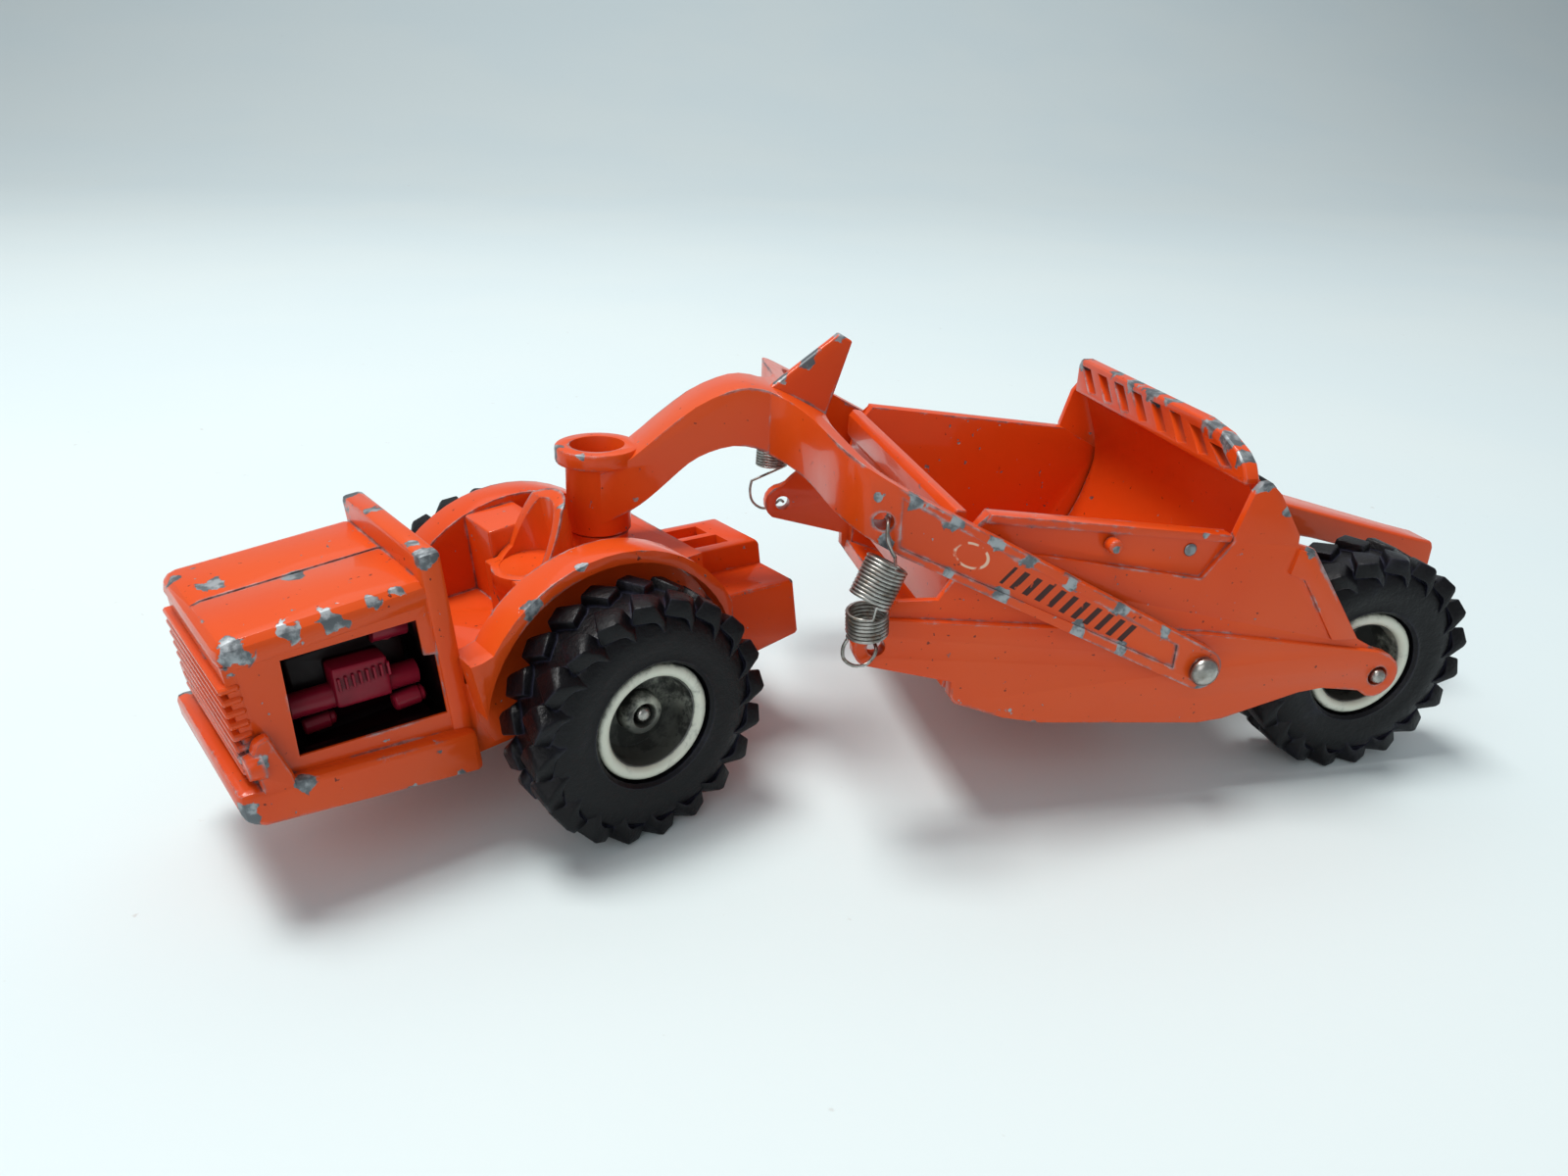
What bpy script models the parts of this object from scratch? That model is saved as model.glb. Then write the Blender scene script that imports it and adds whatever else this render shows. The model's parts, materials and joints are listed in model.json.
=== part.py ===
"""Die-cast toy motor scraper: a two-wheeled tractor, a gooseneck yoke and a sprung bowl.

Run with: blender --background --python part.py

The nose points to -X, the push block to +X and +Z is up.  The tractor is turned about its
kingpin, as the toy stands on a table.  Every size below is in drawing units, a little under a
millimetre each, and the helpers turn them into metres: the toy's overall length sets the unit.
"""
import math

import bmesh
import bpy
from mathutils import Matrix, Vector

# ---------------------------------------------------------------- driving dimensions
OVERALL_LENGTH = 0.149          # metres, nose to push block with the tractor straight
DRAWING_LENGTH = 164.2          # the same length in drawing units
UNIT = OVERALL_LENGTH / DRAWING_LENGTH
GAP = 0.34                      # clearance between touching pieces
STEER = math.radians(25.6)      # how far the tractor is turned about its kingpin
NOSE_DOWN = math.radians(5.75)  # the tractor casting leans forward over its axle

TYRE_RADIUS = 14.5
FRONT_AXLE_X = -5.83
REAR_AXLE_X = 92.7
AXLE_RADIUS = 0.95
RIM_RADIUS = 7.0
TYRE_INNER, TYRE_OUTER = 13.2, 22.0     # distance of the tyre's sides from the centre plane

PIVOT_X, PIVOT_Z = 66.3, 18.7           # pins that join the yoke's arms to the bowl
PIN_RADIUS = 1.1
ARM_INNER, ARM_OUTER = 24.55, 26.6
SPRING_ARM_HOLE = (26.9, 38.4)
SPRING_LUG_HOLE = (27.65, 23.2)
SPRING_WIRE = 0.4

BARREL_RADIUS, BARREL_BORE = 3.75, 3.2
BARREL_TOP, BARREL_FOOT = 39.6, 29.5
FLANGE_RADIUS = 4.9
POST_FOOT, POST_COLLAR = 24.6, 3.45

PLATE_INNER, PLATE_OUTER = 22.5, 23.4   # thin upper part of the bowl's side plates
BAND_OUTER = 24.2                       # thick lower band of the side plates
LINER_INNER = 21.0                      # inside face of the bowl's walls
FENDER_INNER, FENDER_OUTER = 11.0, 14.0
FENDER_RADIUS, ARCH_RADIUS = 17.4, 16.0

RIVET_XS = (-17.0, 2.6)                 # rivets of the tractor's baseplate

KINGPIN = Vector((0.0, 0.0, 0.0))
FRONT_AXLE = Vector((FRONT_AXLE_X, 0.0, TYRE_RADIUS))
REAR_AXLE = Vector((REAR_AXLE_X, 0.0, TYRE_RADIUS))
PIVOT = Vector((PIVOT_X, 0.0, PIVOT_Z))

ORANGE = ("orange_enamel", (0.78, 0.11, 0.025), 0.38, 0.0)
RED = ("red_plastic", (0.30, 0.012, 0.02), 0.35, 0.0)
STEEL = ("bright_steel", (0.62, 0.61, 0.58), 0.30, 1.0)
CREAM = ("cream_enamel", (0.72, 0.72, 0.60), 0.40, 0.0)
RUBBER = ("black_rubber", (0.015, 0.017, 0.022), 0.62, 0.0)


# ---------------------------------------------------------------- scene and objects
def empty_scene():
    """Remove what the file opened with."""
    for thing in list(bpy.data.objects):
        bpy.data.objects.remove(thing, do_unlink=True)


def new_collection(name):
    """A collection linked to the scene."""
    group = bpy.data.collections.new(name)
    bpy.context.scene.collection.children.link(group)
    return group


def material(finish):
    """The Principled material of a finish, made once."""
    name, colour, roughness, metallic = finish
    known = bpy.data.materials.get(name)
    if known:
        return known
    made = bpy.data.materials.new(name)
    made.use_nodes = True
    shader = made.node_tree.nodes["Principled BSDF"]
    shader.inputs["Base Color"].default_value = (*colour, 1.0)
    shader.inputs["Roughness"].default_value = roughness
    shader.inputs["Metallic"].default_value = metallic
    made.diffuse_color = (*colour, 1.0)
    return made


def object_from(mesh, name):
    """A new object in the workshop collection."""
    made = bpy.data.objects.new(name, mesh)
    WORKSHOP.objects.link(made)
    return made


def from_bmesh(form, name):
    """Turn a bmesh into an object."""
    mesh = bpy.data.meshes.new(name)
    form.to_mesh(mesh)
    form.free()
    return object_from(mesh, name)


def baked(thing):
    """The object as one welded mesh with its modifiers and its place applied."""
    bpy.context.view_layer.update()
    view = bpy.context.evaluated_depsgraph_get()
    mesh = bpy.data.meshes.new_from_object(thing.evaluated_get(view))
    mesh.transform(thing.matrix_world)
    form = bmesh.new()
    form.from_mesh(mesh)
    bmesh.ops.remove_doubles(form, verts=form.verts, dist=0.0000002)
    name = thing.name
    bpy.data.objects.remove(thing, do_unlink=True)
    bpy.data.meshes.remove(mesh)
    return from_bmesh(form, name)


def combined(target, others, operation):
    """Boolean the others into the target one after another, and remove them."""
    for other in others:
        other.display_type = "WIRE"
        other.hide_render = True
        step = target.modifiers.new(operation.lower(), "BOOLEAN")
        step.operation = operation
        step.solver = "EXACT"
        step.object = other
        target = baked(target)
        bpy.data.objects.remove(other, do_unlink=True)
    return target


def cut(target, *cutters):
    """The target with the cutters taken away."""
    return combined(target, cutters, "DIFFERENCE")


def joined(target, *others):
    """The target with the others welded on."""
    return combined(target, others, "UNION")


def crossed(target, other):
    """What the two shapes share."""
    return combined(target, (other,), "INTERSECT")


def bevelled(thing, width, segments=2, angle=40.0):
    """Round the sharp edges."""
    step = thing.modifiers.new("edges", "BEVEL")
    step.width = width * UNIT
    step.segments = segments
    step.limit_method = "ANGLE"
    step.angle_limit = math.radians(angle)
    return baked(thing)


# ---------------------------------------------------------------- shapes in drawing units
def box(low, high, name="box"):
    """A box between two corners."""
    low, high = Vector(low) * UNIT, Vector(high) * UNIT
    form = bmesh.new()
    bmesh.ops.create_cube(form, size=1.0)
    bmesh.ops.scale(form, vec=high - low, verts=form.verts)
    bmesh.ops.translate(form, vec=(low + high) / 2, verts=form.verts)
    return from_bmesh(form, name)


def rod(start, end, radius, end_radius=None, sides=24, name="rod"):
    """A cylinder or cone from start to end."""
    start, end = Vector(start) * UNIT, Vector(end) * UNIT
    end_radius = radius if end_radius is None else end_radius
    form = bmesh.new()
    bmesh.ops.create_cone(form, cap_ends=True, segments=sides, radius1=radius * UNIT,
                          radius2=end_radius * UNIT, depth=(end - start).length)
    turn = Vector((0, 0, 1)).rotation_difference(end - start).to_matrix().to_4x4()
    form.transform(Matrix.Translation((start + end) / 2) @ turn)
    return from_bmesh(form, name)


def arc(centre, radius, start, end, steps):
    """Points on an arc, angles in degrees."""
    points = []
    for step in range(steps + 1):
        angle = math.radians(start + (end - start) * step / steps)
        points.append((centre[0] + radius * math.cos(angle), centre[1] + radius * math.sin(angle)))
    return points


def smooth(points, steps=3):
    """Points on a smooth curve through the given ones."""
    ends = [points[0], *points, points[-1]]
    curve = []
    for p0, p1, p2, p3 in zip(ends, ends[1:], ends[2:], ends[3:]):
        for step in range(steps):
            t = step / steps
            curve.append(tuple(
                0.5 * (2 * b + (c - a) * t + (2 * a - 5 * b + 4 * c - d) * t ** 2
                       + (3 * b - a - 3 * c + d) * t ** 3)
                for a, b, c, d in zip(p0, p1, p2, p3)))
    return [*curve, tuple(points[-1])]


PLANES = {
    "X": Matrix(((0, 0, 1), (1, 0, 0), (0, 1, 0))),    # outline in (y, z)
    "Y": Matrix(((1, 0, 0), (0, 0, -1), (0, 1, 0))),   # outline in (x, z)
    "Z": Matrix.Identity(3),                           # outline in (x, y)
}


def slab(outline, axis, low, high, name="slab"):
    """A flat outline given thickness along an axis, from low to high."""
    curve = bpy.data.curves.new(name, "CURVE")
    curve.dimensions = "2D"
    curve.fill_mode = "BOTH"
    curve.extrude = abs(high - low) / 2 * UNIT
    line = curve.splines.new("POLY")
    line.points.add(len(outline) - 1)
    for knot, (a, b) in zip(line.points, outline):
        knot.co = (a * UNIT, b * UNIT, 0.0, 1.0)
    line.use_cyclic_u = True
    thing = object_from(curve, name)
    shift = Vector([(low + high) / 2 * UNIT if letter == axis else 0.0 for letter in "XYZ"])
    thing.matrix_world = Matrix.Translation(shift) @ PLANES[axis].to_4x4()
    return baked(thing)


def turned(profile, steps, solid=False, name="turned"):
    """A piece turned about the Y axis from (radius, distance along Y) points.

    The profile is a closed ring's section, or a solid's outline from axis to axis.
    """
    mesh = bpy.data.meshes.new(name)
    count = len(profile)
    edges = [(i, i + 1) for i in range(count - 1)]
    if not solid:
        edges.append((count - 1, 0))
    mesh.from_pydata([(r * UNIT, 0.0, a * UNIT) for r, a in profile], edges, [])
    thing = object_from(mesh, name)
    screw = thing.modifiers.new("turn", "SCREW")
    screw.steps = steps
    screw.render_steps = steps
    screw.use_merge_vertices = True
    screw.merge_threshold = 0.0000002
    thing.matrix_world = Matrix.Rotation(math.radians(-90), 4, "X")
    return baked(thing)


def wire(points, radius, name="wire"):
    """Round wire along a line of points."""
    curve = bpy.data.curves.new(name, "CURVE")
    curve.dimensions = "3D"
    curve.bevel_depth = radius * UNIT
    curve.bevel_resolution = 1
    curve.use_fill_caps = True
    line = curve.splines.new("POLY")
    line.points.add(len(points) - 1)
    for knot, point in zip(line.points, points):
        knot.co = (*(Vector(point) * UNIT), 1.0)
    return baked(object_from(curve, name))


def mirrored(thing):
    """A copy on the other side of the centre plane, and the original."""
    form = bmesh.new()
    form.from_mesh(thing.data)
    bmesh.ops.scale(form, vec=(1, -1, 1), verts=form.verts)
    bmesh.ops.reverse_faces(form, faces=form.faces)
    return thing, from_bmesh(form, thing.name)


class Frame:
    """An empty on a joint axis; its pieces are drawn in the coordinates of the straight toy."""

    def __init__(self, name, datum, parent=None, turn=0.0, tip=0.0):
        self.datum = Vector(datum) * UNIT
        self.empty = bpy.data.objects.new(name, None)
        self.empty.empty_display_size = 4 * UNIT
        PARTS.objects.link(self.empty)
        self.empty.location = self.datum - (parent.datum if parent else Vector())
        self.empty.rotation_euler = (0.0, tip, turn)
        if parent:
            self.empty.parent = parent.empty

    def add(self, thing, name, finish, origin=None):
        """Name a piece, give it its material and its origin, and hang it on this frame."""
        origin = self.datum if origin is None else Vector(origin) * UNIT
        thing.name = name
        thing.data.name = name
        thing.data.transform(Matrix.Translation(-origin))
        thing.data.materials.clear()
        thing.data.materials.append(material(finish))
        thing.data.shade_smooth()
        thing.data.set_sharp_from_angle(angle=math.radians(32))
        thing.parent = self.empty
        thing.location = origin - self.datum
        WORKSHOP.objects.unlink(thing)
        PARTS.objects.link(thing)


# ---------------------------------------------------------------- wheels and axles
def tyre(side):
    """A tyre about the axle line; side is -1 for the toy's left."""
    inner, outer = TYRE_INNER, TYRE_OUTER
    bore = RIM_RADIUS + GAP
    section = [(bore, outer - 0.5), (7.7, outer - 0.1), (10.5, outer), (13.0, outer - 0.7),
               (14.1, outer - 1.5), (TYRE_RADIUS, outer - 2.7), (TYRE_RADIUS, inner + 2.7),
               (14.1, inner + 1.5), (13.0, inner + 0.7), (10.5, inner), (bore, inner + 0.2)]
    return on_side(turned(section, 32), side)


def hub(side):
    """A dished wheel hub with a rolled rim and a boss round the axle."""
    face = TYRE_OUTER - 0.8
    bore = AXLE_RADIUS + GAP
    section = [(bore, face - 2.9), (2.3, face - 2.9), (2.6, face - 3.2), (2.7, face - 4.6),
               (5.0, face - 4.6), (5.5, face - 3.9), (5.7, face - 0.4), (6.0, face),
               (6.7, face), (RIM_RADIUS, face - 0.4), (RIM_RADIUS, TYRE_INNER + 0.5),
               (bore, TYRE_INNER + 0.5)]
    return on_side(turned(section, 24), side)


def on_side(thing, side):
    """A piece drawn for +Y, mirrored over when it belongs on the other side."""
    if side > 0:
        return thing
    original, copy = mirrored(thing)
    bpy.data.objects.remove(original, do_unlink=True)
    return copy


def axle(reach):
    """A steel axle with domed ends."""
    half = [(0.0, reach), (0.3, reach - 0.03), (0.65, reach - 0.15), (0.87, reach - 0.35),
            (AXLE_RADIUS, reach - 0.65)]
    return turned([*half, *[(r, -a) for r, a in reversed(half)]], 12, solid=True)


def moved(thing, offset):
    """Shift a workshop shape."""
    thing.data.transform(Matrix.Translation(Vector(offset) * UNIT))
    return thing


def add_wheels(frame, centre, label):
    """Two wheels of an axle, each on its own frame."""
    for side, hand in ((-1, "left"), (1, "right")):
        spin = Frame(f"{label}_{hand}_spin", centre, frame)
        spin.add(moved(tyre(side), centre), f"{label}_tyre_{hand}", RUBBER)
        spin.add(moved(hub(side), centre), f"{label}_hub_{hand}", CREAM)


# ---------------------------------------------------------------- tractor
def hood():
    """The hollow engine hood, open at both sides."""
    cap = bevelled(box((-44.0, -11.0, 30.8), (-23.0, 11.0, 34.4)), 1.7, 3)
    walls = box((-43.7, -10.7, 15.5), (-23.0, 10.7, 32.0))
    shell = joined(cap, walls)
    cavity = box((-40.6, -9.2, 14.0), (-24.6, 9.2, 32.4))
    window = slab([(-38.7, 31.0), (-25.5, 30.4), (-25.5, 26.3), (-24.3, 26.0), (-24.3, 18.9),
                   (-39.3, 20.4)], "Y", -13, 13)
    groove = box((-45.0, -0.22, 34.1), (-24.0, 0.22, 35.0))
    return cut(shell, cavity, window, groove)


def grille():
    """Wavy ribs across the nose, folded round its corners."""
    ribs = None
    for row in range(8):
        low = 20.6 + row * 1.27
        rib = bevelled(box((-44.5, -10.95, low), (-42.6, 10.95, low + 0.72)), 0.22, 1)
        ribs = joined(ribs, rib) if ribs else rib
    return ribs


def fender(side):
    """A wheel arch: an arched rim outside and a wall inside, with a step in front."""
    axle_at = (FRONT_AXLE_X, TYRE_RADIUS)
    crown = arc(axle_at, FENDER_RADIUS, 22, 142, 18)
    inner, outer = FENDER_INNER, FENDER_OUTER
    step_front = [(-20.9, 24.9), (-22.1, 24.9), (-21.2, 16.4), (-19.9, 13.4)]
    body = slab([(8.0, 13.0), (10.3, 14.5), *crown, *step_front], "Y", inner - 1.6, outer)
    well = rod((FRONT_AXLE_X, inner, TYRE_RADIUS), (FRONT_AXLE_X, outer + 2, TYRE_RADIUS),
               ARCH_RADIUS, sides=48)
    below = box((-23, inner, 5), (9.5, outer + 2, 16.2))
    return on_side(cut(body, well, below), side)


def seat():
    """Driver's seat with a wrapped back, beside a tall console."""
    console = bevelled(box((-11.2, 2.9, 19.0), (-4.8, 11.5, 31.0)), 0.35)
    cushion = bevelled(box((-12.4, -6.3, 19.0), (-4.6, 2.8, 27.9)), 0.35)
    back = rod((-8.3, -1.7, 26.0), (-8.3, -1.7, 36.0), 4.9, 4.5, sides=28)
    hollow = rod((-8.7, -1.7, 27.9), (-8.7, -1.7, 37.0), 3.5, 3.5, sides=24)
    above = slab([(-14.0, 27.9), (-10.8, 28.0), (-9.0, 28.9), (-7.4, 31.6), (-5.6, 34.6),
                  (-3.4, 35.6), (-2.0, 35.6), (-2.0, 40.0), (-14.0, 40.0)], "Y", -8, 6)
    return joined(joined(console, cushion), cut(back, hollow, above))


def headlamp(side):
    """A lamp on its bracket at the front corner of the bumper."""
    bracket = slab([(-43.5, 17.5), (-43.5, 23.4), (-42.9, 24.4), (-41.7, 24.6), (-40.5, 19.9),
                    (-40.3, 17.5)], "Y", 10.9, 12.3)
    lamp = rod((-42.8, 11.6, 21.8), (-44.3, 11.6, 21.8), 1.55, 1.25, sides=20)
    return on_side(joined(bevelled(bracket, 0.2, 1), lamp), side)


def rear_cover():
    """Ribbed cover over the tractor's tail, with two long pockets."""
    cover = slab([(6.0, 18.0), (6.0, 24.4), (8.3, 23.9), (20.9, 22.3), (21.4, 21.8), (21.6, 18.0)],
                 "Y", -4.75, 4.75)
    cover = bevelled(cover, 0.35)
    far_pocket = slab([(8.6, 21.8), (17.0, 21.2), (17.0, 26.0), (8.6, 26.0)], "Y", 0.5, 3.3)
    near_pocket = slab([(8.6, 20.7), (17.6, 20.2), (17.6, 26.0), (8.6, 26.0)], "Y", -3.3, -0.5)
    return cut(cover, far_pocket, near_pocket)


def tractor_front():
    """Bumper, hood with its ribs and headlamps, open over the engine."""
    bumper = slab([(-45.8, 19.7), (-22.0, 16.4), (-22.0, 11.4), (-44.6, 15.5), (-45.8, 16.4)],
                  "Y", -12.4, 12.4)
    engine_pan = box((-40.6, -9.2, 15.8), (-24.6, 9.2, 21.0))
    front = cut(joined(bevelled(bumper, 0.8), hood()), engine_pan)
    return joined(front, grille(), headlamp(-1), headlamp(1))


def tractor_rear():
    """Chassis, deck and tail between the two wheel arches."""
    chassis = box((-22.3, -10.8, 12.7), (9.2, 10.8, 21.4))
    deck = box((-5.4, -10.0, 20.0), (9.2, 10.0, 26.2))
    tail = slab([(4.3, 21.3), (21.4, 19.1), (21.8, 11.4), (14.2, 11.0), (4.3, 13.1)],
                "Y", -11.7, 11.7)
    return joined(chassis, deck, bevelled(tail, 0.45), fender(-1), fender(1), rear_cover())


def upright_to_casting(height):
    """Where a point of the upright kingpin line lies in the tipped casting's coordinates."""
    point = Vector((0.0, 0.0, height)) - FRONT_AXLE
    return Matrix.Rotation(NOSE_DOWN, 3, "Y") @ point + FRONT_AXLE


def tractor_casting():
    """Everything of the tractor that is cast in one: hood, cab, fenders and tail."""
    dash = bevelled(box((-24.2, -11.0, 13.2), (-21.8, 11.0, 37.0)), 0.55)
    casting = joined(tractor_front(), dash, tractor_rear(), seat())
    axle_bore = rod((FRONT_AXLE_X, -16, TYRE_RADIUS), (FRONT_AXLE_X, 16, TYRE_RADIUS),
                    AXLE_RADIUS + GAP, sides=20)
    socket = rod(upright_to_casting(POST_FOOT - GAP), upright_to_casting(BARREL_FOOT),
                 POST_COLLAR + GAP, sides=28)
    return cut(casting, axle_bore, socket)


def engine():
    """Moulded engine seen through the hood's windows."""
    block = bevelled(box((-37.6, -5.2, 19.5), (-25.6, 5.2, 28.2)), 0.4)
    sump = box((-36.0, -4.0, 17.0), (-27.5, 4.0, 20.0))
    tray = box((-40.2, -8.8, 17.0), (-25.0, 8.8, 18.0))
    parts = [sump, tray]
    for side in (-1, 1):
        parts.append(bevelled(slab([(-34.2, 22.4), (-28.6, 21.9), (-28.4, 26.4), (-34.0, 26.9)],
                                   "Y", *sorted((side * 4.6, side * 8.3))), 0.35))
        parts.append(rod((-38.4, side * 6.4, 23.6), (-25.4, side * 6.4, 22.6), 1.35, sides=14))
        parts.append(rod((-29.0, side * 6.0, 28.6), (-25.4, side * 6.0, 28.3), 1.3, sides=14))
        parts.append(rod((-27.4, side * 4.5, 27.9), (-27.4, side * 6.2, 27.9), 0.9, sides=12))
    fan = rod((-37.0, 0, 24.5), (-39.6, 0, 24.5), 3.4, sides=20)
    return joined(block, *parts, fan)


def baseplate():
    """Plate that closes the underside of the tractor, with two rivet holes."""
    plate = bevelled(box((-21.0, -8.2, 11.1), (6.4, 8.2, 12.2)), 0.3)
    holes = [rod((x, 0, 9), (x, 0, 14), 1.0 + GAP, sides=18) for x in RIVET_XS]
    return cut(plate, *holes)


def baseplate_rivets():
    """Two rivets through the baseplate."""
    heads = []
    for x in RIVET_XS:
        shank = rod((x, 0, 10.5), (x, 0, 12.2), 1.0, sides=16)
        heads.append(joined(shank, rod((x, 0, 10.76), (x, 0, 10.1), 1.9, 1.2, sides=16)))
    return heads


def kingpin_post():
    """Upright post on the tractor's deck that turns inside the yoke's barrel."""
    foot = rod((0, 0, POST_FOOT), (0, 0, BARREL_FOOT - GAP), POST_COLLAR, sides=28)
    post = rod((0, 0, POST_FOOT + 1), (0, 0, BARREL_TOP - 3.6), BARREL_BORE - GAP, sides=28)
    return joined(foot, post)


def build_tractor(toy):
    """Tractor pieces, turned about the kingpin and tipped over the front axle."""
    swing = Frame("steering_axis", KINGPIN, toy, turn=STEER)
    tipped = Frame("front_axle_line", FRONT_AXLE, swing, tip=-NOSE_DOWN)
    tipped.add(tractor_casting(), "tractor_casting", ORANGE)
    tipped.add(engine(), "engine_block", RED)
    tipped.add(baseplate(), "tractor_baseplate", ORANGE)
    for rivet, place in zip(baseplate_rivets(), ("front", "rear")):
        tipped.add(rivet, f"baseplate_rivet_{place}", STEEL)
    swing.add(kingpin_post(), "kingpin_post", ORANGE)
    swing.add(moved(axle(19.4), FRONT_AXLE), "front_axle", STEEL, FRONT_AXLE)
    add_wheels(swing, FRONT_AXLE, "front")


# ---------------------------------------------------------------- gooseneck yoke
def arm_edge(x, top):
    """Height of an arm's upper or lower edge at a distance along the toy."""
    return 41.5 - 0.5556 * (x - 29.2) if top else 35.8 - 0.485 * (x - 26.6)


def yoke_profile():
    """Side outline: barrel end, arched neck and straight arms down to the pivots."""
    upper = smooth([(0.0, 37.0), (3.6, 38.9), (7.0, 41.7), (11.0, 44.7), (14.5, 46.3),
                    (17.2, 46.8), (20.0, 46.2), (23.0, arm_edge(23.0, True)),
                    (27.0, arm_edge(27.0, True))], 2)
    lower = smooth([(26.6, 35.8), (22.5, 37.8), (20.2, 38.6), (18.1, 39.6), (15.4, 40.0),
                    (12.5, 39.3), (10.2, 38.1), (7.8, 36.0), (5.5, 34.0), (3.3, 32.5),
                    (0.0, 31.0)], 2)
    eye = arc((PIVOT_X, PIVOT_Z), 2.5, 61, -116, 10)
    return [*upper, *eye, *lower]


def half_plan():
    """Outer edge of the wishbone on one side, from the kingpin to the arm's end."""
    shoulder = smooth([(19.6, 3.75), (21.2, 5.6), (22.6, 9.5), (23.1, 14.0), (23.4, 19.5),
                       (24.4, 23.4), (26.2, 25.6), (29.0, ARM_OUTER)], 2)
    return [(0.0, 3.75), *shoulder, (70.0, ARM_OUTER), (70.0, ARM_INNER)]


def yoke_plan():
    """Plan outline of the wishbone: the neck, the cross wall and both arms."""
    inside = smooth([(30.0, ARM_INNER), (27.6, 23.4), (26.4, 21.0), (25.9, 16.0), (25.8, 9.0),
                     (26.4, 4.2), (27.0, 0.6)], 2)
    outer = half_plan()
    near = [(x, -y) for x, y in reversed([*outer, *inside])]
    return [*outer, *inside, *near]


def arm_panel(side):
    """Shallow panel sunk in an arm's outer face between its raised edges."""
    rim = 0.85
    left, right = 28.6, 62.6
    outline = [(left, arm_edge(left, False) + rim), (right, arm_edge(right, False) + rim),
               (right, arm_edge(right, True) - rim), (left, arm_edge(left, True) - rim)]
    return slab(outline, "Y", *sorted((side * (ARM_OUTER - 0.32), side * (ARM_OUTER + 1))))


def gooseneck():
    """The yoke casting: kingpin barrel, arched neck, fin and two arms."""
    yoke = crossed(slab(yoke_profile(), "Y", -30, 30), slab(yoke_plan(), "Z", 10, 60))
    yoke = bevelled(yoke, 0.22, 1, 50)
    barrel = rod((0, 0, BARREL_FOOT), (0, 0, BARREL_TOP - 1), BARREL_RADIUS, sides=36)
    flange = bevelled(rod((0, 0, BARREL_TOP - 1.9), (0, 0, BARREL_TOP), FLANGE_RADIUS, sides=36),
                      0.25, 2)
    fin = slab([(19.6, 45.5), (28.3, 52.2), (29.9, 51.3), (27.0, 42.0), (22.0, 42.0)],
               "Y", -0.6, 0.6)
    yoke = joined(yoke, barrel, flange, bevelled(fin, 0.15, 1))
    holes = [rod((0, 0, 20), (0, 0, 50), BARREL_BORE, sides=32)]
    x, z = SPRING_ARM_HOLE
    for side in (-1, 1):
        holes.append(arm_panel(side))
        holes.append(rod((x, side * 20, z), (x, side * 30, z), 1.0, sides=16))
        holes.append(rod((PIVOT_X, side * 20, PIVOT_Z), (PIVOT_X, side * 30, PIVOT_Z),
                         PIN_RADIUS + GAP, sides=20))
    return cut(yoke, *holes)


# ---------------------------------------------------------------- bowl
def plate_outline():
    """Side plate from the spring lug round the ear to the axle lug."""
    lug = arc(SPRING_LUG_HOLE, 2.55, 235, 95, 7)
    axle_lug = arc((REAR_AXLE_X, TYRE_RADIUS), 2.9, 35, -110, 9)
    return [*lug, (28.9, 27.2), (30.0, 28.1), (34.6, 28.0), (36.3, 30.6), (37.4, 31.4),
            (38.6, 36.4), (39.8, 37.5), (69.4, 33.7), (70.9, 38.9), (71.7, 39.9), (72.6, 40.0),
            (74.3, 38.5), (77.8, 33.4), (77.9, 32.3), (80.2, 31.6), (80.9, 30.7), (89.2, 19.4),
            (92.0, 17.9), (93.8, 17.3), *axle_lug, (90.5, 12.6), (85.1, 13.4), (82.3, 13.1),
            (72.2, 10.3), (68.9, 10.0), (48.3, 11.9), (43.5, 13.0), (37.4, 15.4), (36.8, 16.2),
            (36.8, 18.2)]


def band_outline():
    """Thick lower band of the side plate."""
    lug = arc(SPRING_LUG_HOLE, 2.55, 235, 95, 7)
    axle_lug = arc((REAR_AXLE_X, TYRE_RADIUS), 2.9, 35, -110, 9)
    return [*lug, (28.9, 26.4), (35.7, 25.6), (68.5, 21.9), (89.4, 18.3), (92.0, 17.9),
            (93.8, 17.3), *axle_lug, (90.5, 12.6), (85.1, 13.4), (82.3, 13.1), (72.2, 10.3),
            (68.9, 10.0), (48.3, 11.9), (43.5, 13.0), (37.4, 15.4), (36.8, 16.2), (36.8, 18.2)]


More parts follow.
